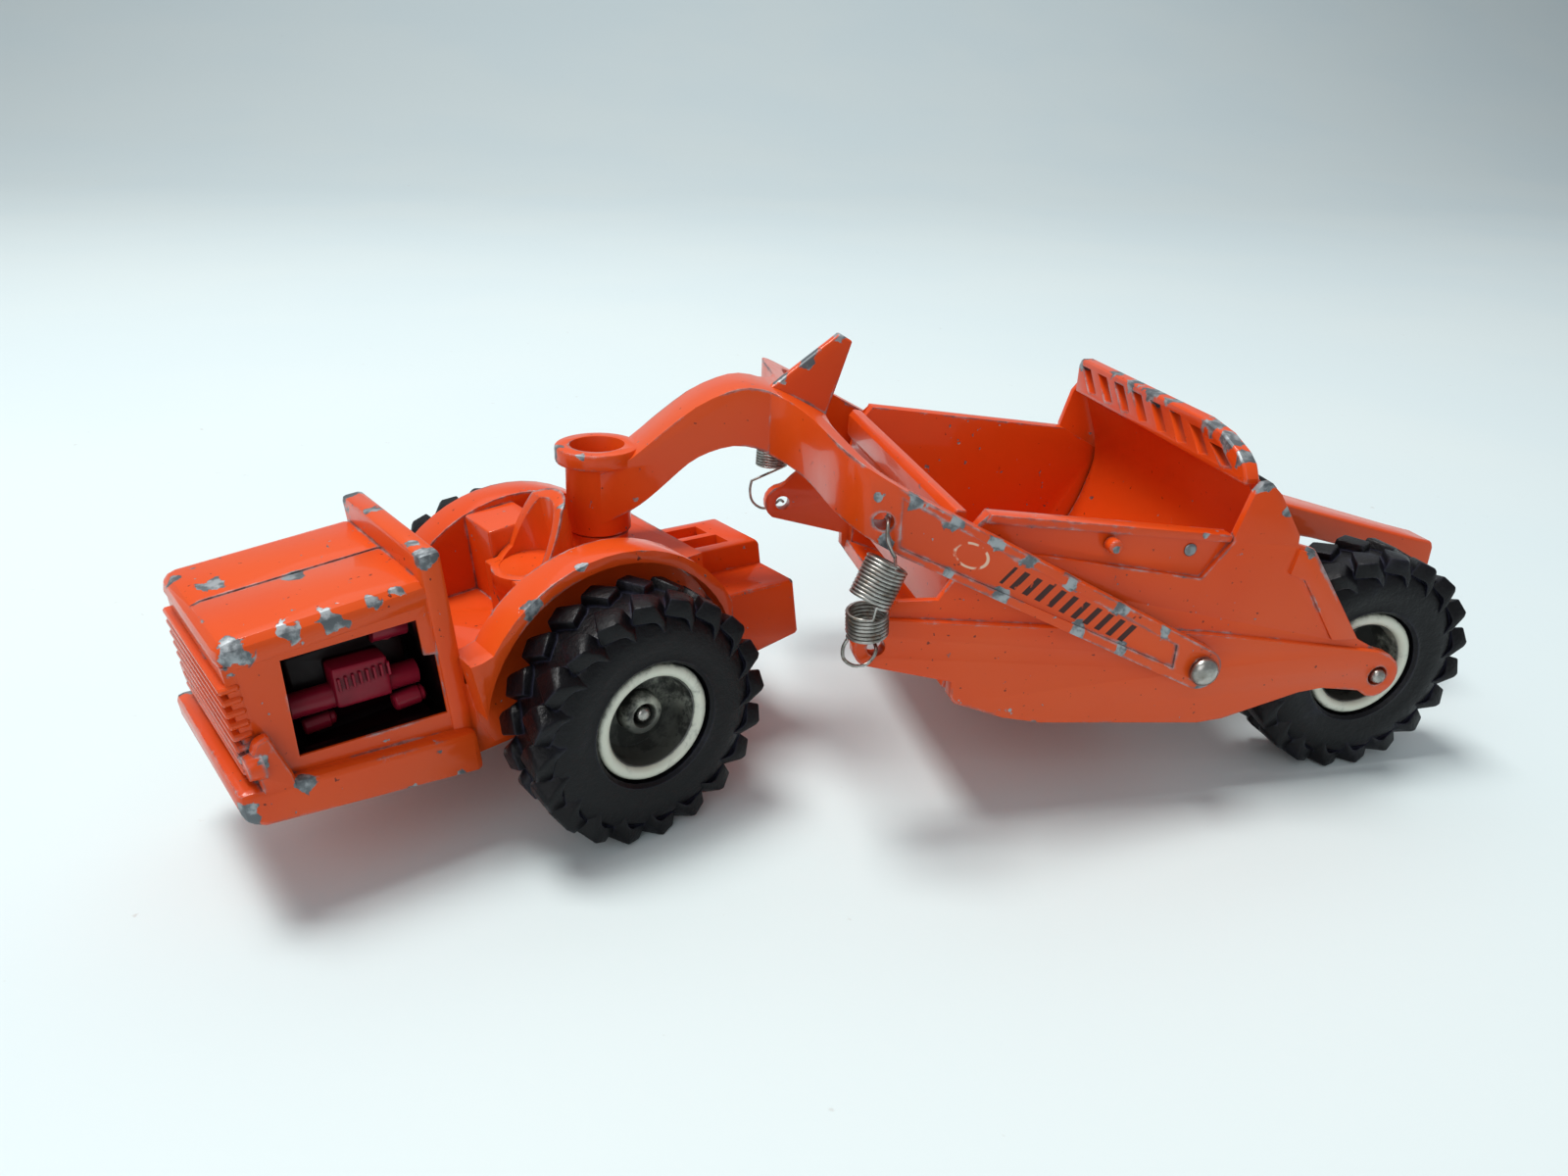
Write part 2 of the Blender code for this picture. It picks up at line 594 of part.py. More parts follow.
def side_plate():
    """One side of the bowl, drawn for +Y."""
    plate = slab(plate_outline(), "Y", PLATE_INNER, PLATE_OUTER)
    band = bevelled(slab(band_outline(), "Y", PLATE_INNER + 0.1, BAND_OUTER), 0.45, 1, 70)
    liner = slab([(37.9, 14.6), (37.9, 35.0), (39.8, 37.5), (69.4, 33.7), (75.6, 30.2),
                  (75.6, 20.0), (71.0, 12.6), (48.3, 12.6), (43.5, 13.6)],
                 "Y", LINER_INNER, PLATE_INNER + 0.2)
    pad = slab([(77.4, 28.8), (78.0, 31.8), (80.0, 31.2), (88.6, 19.7), (85.2, 19.8),
                (79.6, 27.9)], "Y", PLATE_INNER + 0.1, PLATE_OUTER + 0.45)
    panel = slab([(38.0, 33.3), (46.7, 32.5), (66.2, 28.7), (69.4, 32.9), (69.5, 33.1),
                  (69.5, 40.0), (38.0, 40.0)], "Y", PLATE_OUTER - 0.75, PLATE_OUTER + 1)
    rim = slab([(39.4, 36.6), (39.8, 37.5), (69.4, 33.7), (69.2, 32.9)], "Y",
               PLATE_OUTER - 0.9, PLATE_OUTER - 0.3)
    side = cut(joined(plate, liner), panel)
    side = joined(side, rim, band, pad)
    x, z = SPRING_LUG_HOLE
    holes = [rod((x, 20, z), (x, 26, z), 1.05, sides=18),
             rod((PIVOT_X, 18, PIVOT_Z), (PIVOT_X, 26, PIVOT_Z), PIN_RADIUS + GAP, sides=20),
             rod((REAR_AXLE_X, 18, TYRE_RADIUS), (REAR_AXLE_X, 26, TYRE_RADIUS),
                 AXLE_RADIUS + GAP, sides=18)]
    return cut(side, *holes)


def bowl_casting():
    """The bowl: both side plates and the floor between them."""
    left, right = mirrored(side_plate())
    floor = slab([(37.2, 17.6), (36.9, 16.0), (43.5, 13.4), (48.3, 12.5), (71.0, 12.5),
                  (72.2, 13.6), (66.8, 13.6), (66.5, 14.0), (48.6, 14.0), (44.0, 14.9)],
                 "Y", -LINER_INNER - 0.2, LINER_INNER + 0.2)
    return joined(floor, left, right)


def back_wall_face():
    """Hollow-curved inside face of the tailgate, from top to floor."""
    return smooth([(71.6, 39.6), (72.9, 36.3), (74.3, 32.5), (74.7, 29.2), (74.1, 26.2),
                   (72.9, 22.4), (71.4, 19.3), (69.6, 16.6), (67.6, 14.2)], 2)


def tailgate():
    """Curved rear wall of the bowl with the slanted grating along its top."""
    face = back_wall_face()
    behind = [(x + 1.5, z - 0.2) for x, z in reversed(face)]
    reach = LINER_INNER - GAP
    wall = slab([*face, *behind], "Y", -reach, reach)
    comb = [(reach + 0.9, 39.0), (reach + 0.9, 43.0), (reach + 0.3, 44.0), (-11.0, 44.1),
            (-15.6, 43.5), (-18.8, 42.4), (-20.6, 41.2), (-21.5, 39.8), (-21.5, 39.0)]
    grating = bevelled(slab(comb, "X", 70.6, 72.5), 0.25, 1)
    wall = joined(wall, grating)
    bars = 8
    pitch = 38.6 / bars
    windows = []
    for cell in range(bars):
        right = 20.4 - cell * pitch
        head = 43.1 if cell < 6 else (42.7, 41.8)[cell - 6]
        windows.append(slab([(right, head), (right - pitch * 0.54, head),
                             (right - pitch * 1.06, 40.2), (right - pitch * 0.62, 39.8)],
                            "X", 69.0, 74.0))
    return cut(wall, *windows)


def apron():
    """Curved plate that closes the bowl's mouth, with a thick upper lip."""
    reach = LINER_INNER - GAP
    section = [(38.0, 37.2), (36.8, 37.4), (36.2, 36.6), (36.1, 34.0), (36.9, 33.0), (36.4, 28.0),
               (36.9, 22.2), (38.1, 22.0), (37.7, 28.0), (38.2, 33.0)]
    return bevelled(slab(section, "Y", -reach, reach), 0.15, 1)


def push_frame():
    """Sloping channel beam from the tailgate down to the push block."""
    side = [(76.9, 33.6), (79.5, 32.9), (112.0, 23.7), (116.6, 22.5), (117.0, 21.6),
            (117.2, 9.6), (118.4, 8.4), (118.4, 5.6), (113.4, 5.4), (113.0, 17.6),
            (110.8, 20.2), (96.0, 24.4), (84.0, 27.0), (78.4, 23.6), (76.9, 23.6)]
    plan = [(76.0, 4.6), (82.0, 4.2), (112.0, 2.6), (119.0, 2.4)]
    plan = [*plan, *[(x, -y) for x, y in reversed(plan)]]
    beam = crossed(slab(side, "Y", -8, 8), slab(plan, "Z", 0, 40))
    channel = slab([(84.0, 20.0), (84.0, 29.6), (110.6, 22.0), (112.6, 20.6), (113.6, 17.0),
                    (112.0, 4.0)], "Y", -2.0, 2.0)
    return cut(bevelled(beam, 0.3, 1), channel)


def wall_peg(side, height, radius):
    """Short peg whose end shows in the sunk panel of a side wall."""
    foot = PLATE_OUTER - 0.75 + GAP
    outline = [(0.0, foot + height), (radius * 0.8, foot + height),
               (radius, foot + height * 0.6), (radius, foot), (0.0, foot)]
    return on_side(turned(outline, 12, solid=True), side)


def pivot_pin(side):
    """Headed pin through an arm and a side plate."""
    under = ARM_OUTER + GAP
    outline = [(0.0, under + 1.15), (0.6, under + 1.1), (1.15, under + 0.85),
               (1.55, under + 0.4), (1.6, under), (PIN_RADIUS, under), (PIN_RADIUS, 20.9),
               (0.0, 20.9)]
    return on_side(moved(turned(outline, 16, solid=True), PIVOT), side)


def build_bowl(toy):
    """Bowl pieces on the pivot axis, and the rear wheels."""
    tilt = Frame("tilt_axis", PIVOT, toy)
    tilt.add(bowl_casting(), "bowl_casting", ORANGE)
    tilt.add(tailgate(), "tailgate", ORANGE)
    tilt.add(apron(), "apron", ORANGE)
    tilt.add(push_frame(), "push_frame", ORANGE)
    for side, hand in ((-1, "left"), (1, "right")):
        tilt.add(moved(wall_peg(side, 1.5, 0.85), (54.3, 0, 33.5)), f"apron_peg_{hand}", ORANGE)
        tilt.add(moved(wall_peg(side, 0.45, 0.95), (64.5, 0, 32.1)), f"wall_rivet_{hand}", STEEL)
    tilt.add(moved(axle(24.9), REAR_AXLE), "rear_axle", STEEL, REAR_AXLE)
    add_wheels(tilt, REAR_AXLE, "rear")


# ---------------------------------------------------------------- springs
def coil(start, end, radius, turns, side, per_turn=7):
    """Points of a helix from start to end; it begins and ends on its outward side."""
    start, end = Vector(start), Vector(end)
    along = (end - start).normalized()
    across = along.cross(Vector((0, 1, 0))).normalized()
    third = along.cross(across)
    points = []
    for step in range(turns * per_turn + 1):
        angle = 2 * math.pi * step / per_turn - side * math.pi / 2
        centre = start.lerp(end, step / (turns * per_turn))
        points.append(centre + radius * (math.cos(angle) * across + math.sin(angle) * third))
    return points


def hook(side, hole, face, reach):
    """Wire that runs beside a hole and bends into it; reach is how far up or down it comes."""
    x, z = hole
    outside = face + 0.75
    return [Vector((x, side * outside, z + reach)), Vector((x, side * outside, z + reach / 4)),
            Vector((x, side * (outside - 0.8), z)), Vector((x, side * (outside - 2.4), z))]


def tension_spring(side, kinked):
    """Close-wound spring from an arm's hole down to the bowl's lug."""
    top = hook(side, SPRING_ARM_HOLE, ARM_OUTER, -2.6)
    foot = hook(side, SPRING_LUG_HOLE, BAND_OUTER, 1.4)
    if kinked:
        upper = coil((27.0, side * 27.4, 34.2), (24.8, side * 28.0, 29.9), 2.2, 9, side)
        lower = coil((24.9, side * 27.4, 28.0), (25.3, side * 27.2, 25.7), 2.1, 5, side)
        windings = [*upper, *lower]
    else:
        windings = coil((26.9, side * 26.3, 33.6), (26.6, side * 26.3, 27.4), 2.2, 13, side)
    return wire([*reversed(top), *windings, *foot], SPRING_WIRE / 2)


def build_yoke(toy):
    """The yoke, its pivot pins and the two springs."""
    toy.add(gooseneck(), "gooseneck", ORANGE)
    for side, hand in ((-1, "left"), (1, "right")):
        toy.add(pivot_pin(side), f"pivot_pin_{hand}", STEEL, PIVOT)
        toy.add(tension_spring(side, side < 0), f"bowl_spring_{hand}", STEEL)


def stand_on_origin(toy):
    """Put the middle of the toy's footprint at the origin, with the tyres on the ground."""
    bpy.context.view_layer.update()
    corners = [thing.matrix_world @ corner.co for thing in PARTS.objects
               if thing.type == "MESH" for corner in thing.data.vertices]
    low = [min(corner[axis] for corner in corners) for axis in range(3)]
    high = [max(corner[axis] for corner in corners) for axis in range(3)]
    toy.empty.location = (-(low[0] + high[0]) / 2, -(low[1] + high[1]) / 2, -low[2])
    bpy.context.view_layer.update()


empty_scene()
PARTS = new_collection("toy_motor_scraper")
WORKSHOP = new_collection("workshop")
scraper = Frame("scraper", KINGPIN)
build_yoke(scraper)
build_tractor(scraper)
build_bowl(scraper)
stand_on_origin(scraper)
bpy.data.collections.remove(WORKSHOP)
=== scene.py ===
"""Looks of a die-cast toy motor scraper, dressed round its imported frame.

The tractor, the yoke and the bowl are castings in worn orange enamel.  Their meshes are copies of
the frame's nodes, merged and rounded; wheels, axles, pins, springs and the engine's small parts are
modelled here.  Sizes are in drawing units, a little under a millimetre each, as the frame has them.
"""
import json
import logging
import math
from dataclasses import dataclass
from enum import Enum
from typing import Iterable, Sequence

import bpy
from mathutils import Matrix, Vector


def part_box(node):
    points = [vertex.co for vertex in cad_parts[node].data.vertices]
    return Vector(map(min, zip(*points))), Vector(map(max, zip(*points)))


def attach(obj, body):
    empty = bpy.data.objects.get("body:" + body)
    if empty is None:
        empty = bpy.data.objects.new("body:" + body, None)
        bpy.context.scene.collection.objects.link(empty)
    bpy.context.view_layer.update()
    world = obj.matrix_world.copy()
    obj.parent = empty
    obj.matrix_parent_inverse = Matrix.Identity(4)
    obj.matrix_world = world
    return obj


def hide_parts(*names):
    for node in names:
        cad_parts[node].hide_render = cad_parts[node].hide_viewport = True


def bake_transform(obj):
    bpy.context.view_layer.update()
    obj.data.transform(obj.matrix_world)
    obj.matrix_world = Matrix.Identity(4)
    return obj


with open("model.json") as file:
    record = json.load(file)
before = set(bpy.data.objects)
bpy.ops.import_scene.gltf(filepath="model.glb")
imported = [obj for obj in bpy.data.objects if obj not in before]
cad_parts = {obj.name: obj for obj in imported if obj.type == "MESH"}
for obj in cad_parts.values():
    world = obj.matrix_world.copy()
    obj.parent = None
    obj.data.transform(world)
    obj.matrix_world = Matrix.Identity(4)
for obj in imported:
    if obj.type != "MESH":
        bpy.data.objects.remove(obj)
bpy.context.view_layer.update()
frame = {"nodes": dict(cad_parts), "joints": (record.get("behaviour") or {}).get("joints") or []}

LOG = logging.getLogger("motor_scraper")

TYRE_RADIUS = 14.5                                            # drawing units
UNIT = (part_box("rear_tyre_left")[1].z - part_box("rear_tyre_left")[0].z) / (2 * TYRE_RADIUS)
JOINTS = {joint["name"]: joint for joint in frame["joints"]}
KINGPIN = Vector((JOINTS["steering"]["pos_m"][0], JOINTS["steering"]["pos_m"][1], 0.0))
STEER = math.atan2(-JOINTS["front_wheel_left_spin"]["axis"][0],
                   JOINTS["front_wheel_left_spin"]["axis"][1])
NOSE_DOWN = math.radians(5.75)
TRACTOR_TURN = Matrix.Rotation(STEER, 3, "Z") @ Matrix.Rotation(-NOSE_DOWN, 3, "Y")
FRONT_AXLE_X = -5.83
UP = Vector((0.0, 0.0, 1.0))
WELD = 0.0000004                                              # metres
MIX_FACTOR, MIX_FIRST, MIX_SECOND, MIX_RESULT = 0, 6, 7, 2    # the Mix node's colour sockets

Point = tuple[float, float, float]


class Side(Enum):
    """Which side of the toy a piece is on; the value is the sign of its Y."""

    LEFT = -1
    RIGHT = 1

    @property
    def label(self) -> str:
        """Lower-case name used in piece and node names."""
        return self.name.lower()


# ---------------------------------------------------------------- places
def on_toy(x: float, y: float, z: float) -> Vector:
    """Place a point given in drawing units from the kingpin's foot.

    Args:
        x: distance behind the kingpin.
        y: distance to the right.
        z: height above the ground.

    Returns:
        The point in metres.
    """
    return KINGPIN + Vector((x, y, z)) * UNIT


def on_tractor(x: float, y: float, z: float) -> Vector:
    """Place a point given in the straight and level tractor's drawing units.

    Args:
        x: distance behind the kingpin.
        y: distance to the right.
        z: height.

    Returns:
        The point in metres on the steered and tipped tractor.
    """
    axle = Vector((FRONT_AXLE_X, 0.0, TYRE_RADIUS))
    tipped = Matrix.Rotation(-NOSE_DOWN, 3, "Y") @ (Vector((x, y, z)) - axle) + axle
    return KINGPIN + (Matrix.Rotation(STEER, 3, "Z") @ tipped) * UNIT


# ---------------------------------------------------------------- shader arithmetic
class Value:
    """A number in a material; arithmetic on it adds Math nodes."""

    def __init__(self, shade: "Shade", socket: bpy.types.NodeSocket) -> None:
        """Wrap an output socket.

        Args:
            shade: the material the socket belongs to.
            socket: the output that carries the number.
        """
        self.shade = shade
        self.socket = socket

    def _math(self, operation: str, *terms: "Value | float") -> "Value":
        """Add one Math node.

        Args:
            operation: the node's operation.
            terms: its inputs in order.

        Returns:
            The node's result.
        """
        sockets = dict(enumerate(terms))
        return self.shade.value("ShaderNodeMath", {"operation": operation}, sockets)

    def __add__(self, other: "Value | float") -> "Value":
        """Sum."""
        return self._math("ADD", self, other)

    def __radd__(self, other: float) -> "Value":
        """Sum with a number on the left."""
        return self._math("ADD", other, self)

    def __sub__(self, other: "Value | float") -> "Value":
        """Difference."""
        return self._math("SUBTRACT", self, other)

    def __rsub__(self, other: float) -> "Value":
        """A number less this value."""
        return self._math("SUBTRACT", other, self)

    def __mul__(self, other: "Value | float") -> "Value":
        """Product."""
        return self._math("MULTIPLY", self, other)

    def __truediv__(self, other: "Value | float") -> "Value":
        """Quotient."""
        return self._math("DIVIDE", self, other)

    def highest(self, other: "Value | float") -> "Value":
        """The larger of two values."""
        return self._math("MAXIMUM", self, other)

    def size(self) -> "Value":
        """The value without its sign."""
        return self._math("ABSOLUTE", self)

    def wrapped(self, low: float, high: float) -> "Value":
        """The value folded into a repeating range."""
        return self._math("WRAP", self, high, low)

    def between(self, low: float, high: float) -> "Value":
        """Rise smoothly from 0 at low to 1 at high.

        Args:
            low: where the ramp starts.
            high: where it is full; less than low for a falling ramp.

        Returns:
            The ramp's value, kept from 0 to 1.
        """
        return self.shade.value("ShaderNodeMapRange", {"interpolation_type": "SMOOTHSTEP"},
                                {"Value": self, "From Min": low, "From Max": high})


class Shade:
    """The node tree of one material."""

    def __init__(self, name: str) -> None:
        """Start a material with an empty tree.

        Args:
            name: the material's name.
        """
        self.material = bpy.data.materials.new(name)
        self.material.use_nodes = True
        self.tree = self.material.node_tree
        self.tree.nodes.clear()
        self.place = self.node("ShaderNodeTexCoord").outputs["Object"]

    def node(self, kind: str, settings: dict | None = None,
             sockets: dict | None = None) -> bpy.types.Node:
        """Add a node.

        Args:
            kind: the node's type.
            settings: properties, set first.
            sockets: input names or numbers with their values or links.

        Returns:
            The new node.
        """
        made = self.tree.nodes.new(kind)
        for key, value in (settings or {}).items():
            setattr(made, key, value)
        for key, value in (sockets or {}).items():
            if isinstance(value, Value):
                value = value.socket
            if isinstance(value, bpy.types.NodeSocket):
                self.tree.links.new(value, made.inputs[key])
            else:
                made.inputs[key].default_value = value
        return made

    def value(self, kind: str, settings: dict | None = None,
              sockets: dict | None = None, output: int | str = 0) -> Value:
        """Add a node and wrap one of its outputs.

        Args:
            kind: the node's type.
            settings: see node.
            sockets: see node.
            output: the output's name or number.

        Returns:
            The output as a value.
        """
        return Value(self, self.node(kind, settings, sockets).outputs[output])

    def noise(self, scale: float, detail: float = 3.0, roughness: float = 0.5) -> Value:
        """Cloudy pattern over the surface.

        Args:
            scale: features to the metre.
            detail: octaves.
            roughness: how strong the fine octaves are.

        Returns:
            A value near 0.5.
        """
        return self.value("ShaderNodeTexNoise", None,
                          {"Vector": self.place, "Scale": scale, "Detail": detail,
                           "Roughness": roughness})

    def cells(self, scale: float) -> Value:
        """Angular pattern: the distance to the middle of the nearest cell, 0 to about 0.9."""
        return self.value("ShaderNodeTexVoronoi", None, {"Vector": self.place, "Scale": scale})

    def along(self, direction: Vector, origin: Vector) -> Value:
        """Distance in metres from a point along a direction.

        Args:
            direction: unit vector.
            origin: where the distance is nought.

        Returns:
            The signed distance.
        """
        moved = self.node("ShaderNodeVectorMath", {"operation": "SUBTRACT"},
                          {0: self.place, 1: tuple(origin)}).outputs[0]
        return self.value("ShaderNodeVectorMath", {"operation": "DOT_PRODUCT"},
                          {0: moved, 1: tuple(direction)}, "Value")

    def near(self, point: Vector, radius: float) -> Value:
        """How close the surface is to a point: 1 on it, 0 at the radius and beyond.

        Args:
            point: in metres.
            radius: in metres.

        Returns:
            The closeness.
        """
        away = self.value("ShaderNodeVectorMath", {"operation": "DISTANCE"},
                          {0: self.place, 1: tuple(point)}, "Value")
        return away.between(radius, 0.0)

    def edges(self, radius: float) -> Value:
        """How sharply the surface turns close by, from 0 on flats.

        Args:
            radius: how far to look, in metres.

        Returns:
            The sharpness, about 0.3 on a square edge.
        """
        rounded = self.node("ShaderNodeBevel", {"samples": 6}, {"Radius": radius}).outputs[0]
        flat = self.node("ShaderNodeNewGeometry").outputs["Normal"]
        agreement = self.value("ShaderNodeVectorMath", {"operation": "DOT_PRODUCT"},
                               {0: rounded, 1: flat}, "Value")
        return 1.0 - agreement

    def openness(self, reach: float) -> Value:
        """1 where the surface is open, less in corners."""
        return self.value("ShaderNodeAmbientOcclusion", {"samples": 6},
                          {"Distance": reach}, "AO")

    def blend(self, factor: "Value | float", first: object, second: object) -> bpy.types.NodeSocket:
        """Mix two colours.

        Args:
            factor: 0 for the first, 1 for the second.
            first: colour or socket.
            second: colour or socket.

        Returns:
            The mixed colour's socket.
        """
        def colour(given: object) -> object:
            """A colour with its alpha, or the socket itself."""
            return (*given, 1.0) if isinstance(given, tuple) else given

        mixed = self.node("ShaderNodeMix", {"data_type": "RGBA"},
                          {MIX_FACTOR: factor, MIX_FIRST: colour(first),
                           MIX_SECOND: colour(second)})
        return mixed.outputs[MIX_RESULT]

    def bumped(self, height: Value, strength: float, depth: float) -> bpy.types.NodeSocket:
        """A normal bent by a height.

        Args:
            height: the relief.
            strength: from 0 to 1.
            depth: height of a value of 1 in metres.

        Returns:
            The normal's socket.
        """
        sockets = {"Height": height, "Strength": strength, "Distance": depth}
        return self.node("ShaderNodeBump", None, sockets).outputs[0]

    def finish(self, fixed: dict | None = None, **inputs: object) -> bpy.types.Material:
        """Put the Principled shader on the tree's end.

        Args:
            fixed: sockets that are the same all over.
            inputs: varying sockets, with _ for a space in their names.

        Returns:
            The material.
        """
        sockets = {key.replace("_", " "): value for key, value in inputs.items()}
        shader = self.node("ShaderNodeBsdfPrincipled", None, {**(fixed or {}), **sockets})
        self.node("ShaderNodeOutputMaterial", None, {"Surface": shader.outputs[0]})
        return self.material


# ---------------------------------------------------------------- finishes
@dataclass(frozen=True)
class Spot:
    """A place where the enamel is knocked off."""

    at: Vector
    radius: float


@dataclass(frozen=True)
class Enamel:
    """Gloss enamel over cast zinc, chipped along its edges."""

    name: str = "orange_enamel"
    paint: Point = (0.66, 0.062, 0.0050)
    faded: Point = (0.71, 0.094, 0.013)
    metal: Point = (0.135, 0.150, 0.160)
    pale_metal: Point = (0.36, 0.385, 0.40)
    # Dark colour of dirt specks and of the painted shade in creases.
    grime: Point = (0.075, 0.012, 0.005)
    # Near black of the painted shade in deep hollows.
    unlit: Point = (0.002, 0.001, 0.001)
    wear: float = 1.0
    worn_width: float = 0.75                                  # drawing units
    gloss: float = 0.27
    coat: float = 0.34
    spots: tuple[Spot, ...] = ()

    def chips(self, shade: Shade) -> Value:
        """Mask of bare metal: worn edges, the named spots and a few stray nicks.

        Args:
            shade: the material.

        Returns:
            The mask.
        """
        ragged = shade.noise(1500.0, 5.0, 0.66) - 0.5
        lobes = shade.noise(430.0, 2.0) - 0.5
        flakes = shade.cells(780.0) - 0.42
        patchy = shade.noise(120.0, 2.0)
        edge = shade.edges(self.worn_width * UNIT)
        worn = edge * 5.5 * patchy.between(0.44, 0.58) * self.wear + ragged + lobes + flakes * 0.6
        mask = worn.between(0.50, 0.54)
        frayed = ragged * 1.3 + lobes * 1.8 + flakes * 1.2 + edge * 1.1 - 0.06
        for spot in self.spots:
            close = shade.near(spot.at, spot.radius)
            chip = (close * 1.15 + frayed).between(0.42, 0.46) * close.between(0.0, 0.06)
            mask = mask.highest(chip)
        nicks = shade.noise(820.0, 2.0, 0.6)
        return mask.highest((nicks + patchy * 0.3).between(0.90, 0.925))

    def hidden(self, shade: Shade) -> Value | None:
        """Mask of painted shade, near black, in a hollow too deep for light, where a casting has
        one.
        """
        return None

    def overprint(self, shade: Shade, colour: bpy.types.NodeSocket) -> bpy.types.NodeSocket:
        """Lay print over the enamel, where a casting has any."""
        return colour

    def material(self) -> bpy.types.Material:
        """Build the enamel.

        Returns:
            The material.
        """
        shade = Shade(self.name)
        chips = self.chips(shade)
        open_air = shade.openness(2.2 * UNIT)
        cloudy = shade.noise(38.0, 3.0).between(0.36, 0.66)
        paint = shade.blend(cloudy * 0.55, self.paint, self.faded)
        # Painted shade in creases and hollows, patchy with noise; with the specks below, this is
        # dirt and painted shade in one.
        dirt_and_shade = open_air.between(0.60, 0.05) * 0.8 * shade.noise(160.0, 4.0).between(0.3, 0.6)
        specks = shade.noise(1500.0, 2.0).between(0.725, 0.75)
        grimed_and_shaded = shade.blend(dirt_and_shade.highest(specks * 0.85), paint, self.grime)
        scuffs = shade.noise(700.0, 4.0, 0.6).between(0.42, 0.62)
        colour = shade.blend(chips, grimed_and_shaded, shade.blend(scuffs, self.metal, self.pale_metal))
        coat = self.coat - chips * self.coat
        hidden = self.hidden(shade)
        # A hollow's painted shade: near black, with no coat.
        if hidden is not None:
            colour = shade.blend(hidden, colour, self.unlit)
            coat = coat * (1.0 - hidden)
        colour = self.overprint(shade, colour)
        rough = self.gloss + shade.noise(240.0, 3.0) * 0.16 + chips * 0.12 + dirt_and_shade * 0.25
        relief = shade.noise(330.0, 2.0) * 0.35 + shade.noise(1900.0, 2.0) * 0.08 - chips * 1.3
        return shade.finish({"Coat Roughness": 0.07, "Specular IOR Level": 0.16}, Base_Color=colour,
                            Roughness=rough, Metallic=chips * 0.6, Coat_Weight=coat,
                            Normal=shade.bumped(relief, 0.6, 0.00008))


@dataclass(frozen=True)
class HoodEnamel(Enamel):
    """The tractor's enamel, with painted shade over the engine bay's walls."""

    name: str = "orange_enamel_tractor"
    bay_low: Point = (-40.9, -10.45, 15.9)
    bay_high: Point = (-24.0, 10.45, 32.7)

    def hidden(self, shade: Shade) -> Value:
        """Mask of the painted shade on the engine bay's walls.

        Args:
            shade: the material.

        Returns:
            The mask.
        """
        middle = [(low + high) / 2 for low, high in zip(self.bay_low, self.bay_high)]
        origin = on_tractor(*middle)
        inside = None
        for number, (low, high) in enumerate(zip(self.bay_low, self.bay_high)):
            half = (high - low) / 2 * UNIT
            away = shade.along(TRACTOR_TURN.col[number], origin).size()
            within = away.between(half, half - 0.12 * UNIT)
            inside = within if inside is None else inside * within
        return inside


@dataclass(frozen=True)
class ArmEnamel(Enamel):
    """The yoke's enamel, with printed bars and a ring along both arms."""

    name: str = "orange_enamel_printed"
    ink: Point = (0.006, 0.004, 0.004)
    pale: Point = (0.80, 0.62, 0.45)
    fall: float = 0.521                                       # slope of the arms
    bars_from: Point = (40.9, 0.0, 31.9)
    bar_pitch: float = 1.72
    bar_half: float = 0.36
    bar_slant: float = 0.28
    ring_centre: Point = (36.6, 0.0, 34.3)
    ring_radius: float = 2.05
    ring_squash: float = 2.6

    def on_arm(self, shade: Shade, origin: Point) -> tuple[Value, Value]:
        """Drawing units down the arm and across it from a point.

        Args:
            shade: the material.
            origin: where both are nought, in drawing units.

        Returns:
            The two distances.
        """
        run = shade.along(Vector((1.0, 0.0, -self.fall)).normalized(), on_toy(*origin))
        rise = shade.along(Vector((self.fall, 0.0, 1.0)).normalized(), on_toy(*origin))
        return run / UNIT, rise / UNIT

    def bars(self, shade: Shade) -> Value:
        """Mask of the row of slanted bars.

        Args:
            shade: the material.

        Returns:
            The mask.
        """
        run, rise = self.on_arm(shade, self.bars_from)
        slanted = run - rise * self.bar_slant
        from_middle = slanted.wrapped(-self.bar_pitch / 2, self.bar_pitch / 2).size()
        bars = from_middle.between(self.bar_half + 0.05, self.bar_half)
        length = (slanted - 9.1).size().between(9.2, 9.1)
        height = rise.size().between(1.18, 1.10)
        rubbed = shade.noise(520.0, 4.0).between(0.33, 0.38)
        return bars * length * height * rubbed

    def ring(self, shade: Shade) -> Value:
        """Mask of the worn ring.

        Args:
            shade: the material.

        Returns:
            The mask.
        """
        run, rise = self.on_arm(shade, self.ring_centre)
        reach = shade.value("ShaderNodeMath", {"operation": "POWER"},
                            {0: run * run + rise * rise * self.ring_squash, 1: 0.5})
        line = (reach - self.ring_radius).size().between(0.24, 0.14)
        return line * shade.noise(600.0, 4.0).between(0.42, 0.50)

    def overprint(self, shade: Shade, colour: bpy.types.NodeSocket) -> bpy.types.NodeSocket:
        """Lay the bars and the ring on the arms' outer faces.

        Args:
            shade: the material.
            colour: the enamel's colour.

        Returns:
            The printed colour.
        """
        outer = (shade.along(Vector((0, 1, 0)), KINGPIN).size() / UNIT).between(26.0, 26.1)
        inked = shade.blend(self.bars(shade) * outer * 0.95, colour, self.ink)
        return shade.blend(self.ring(shade) * outer * 0.8, inked, self.pale)


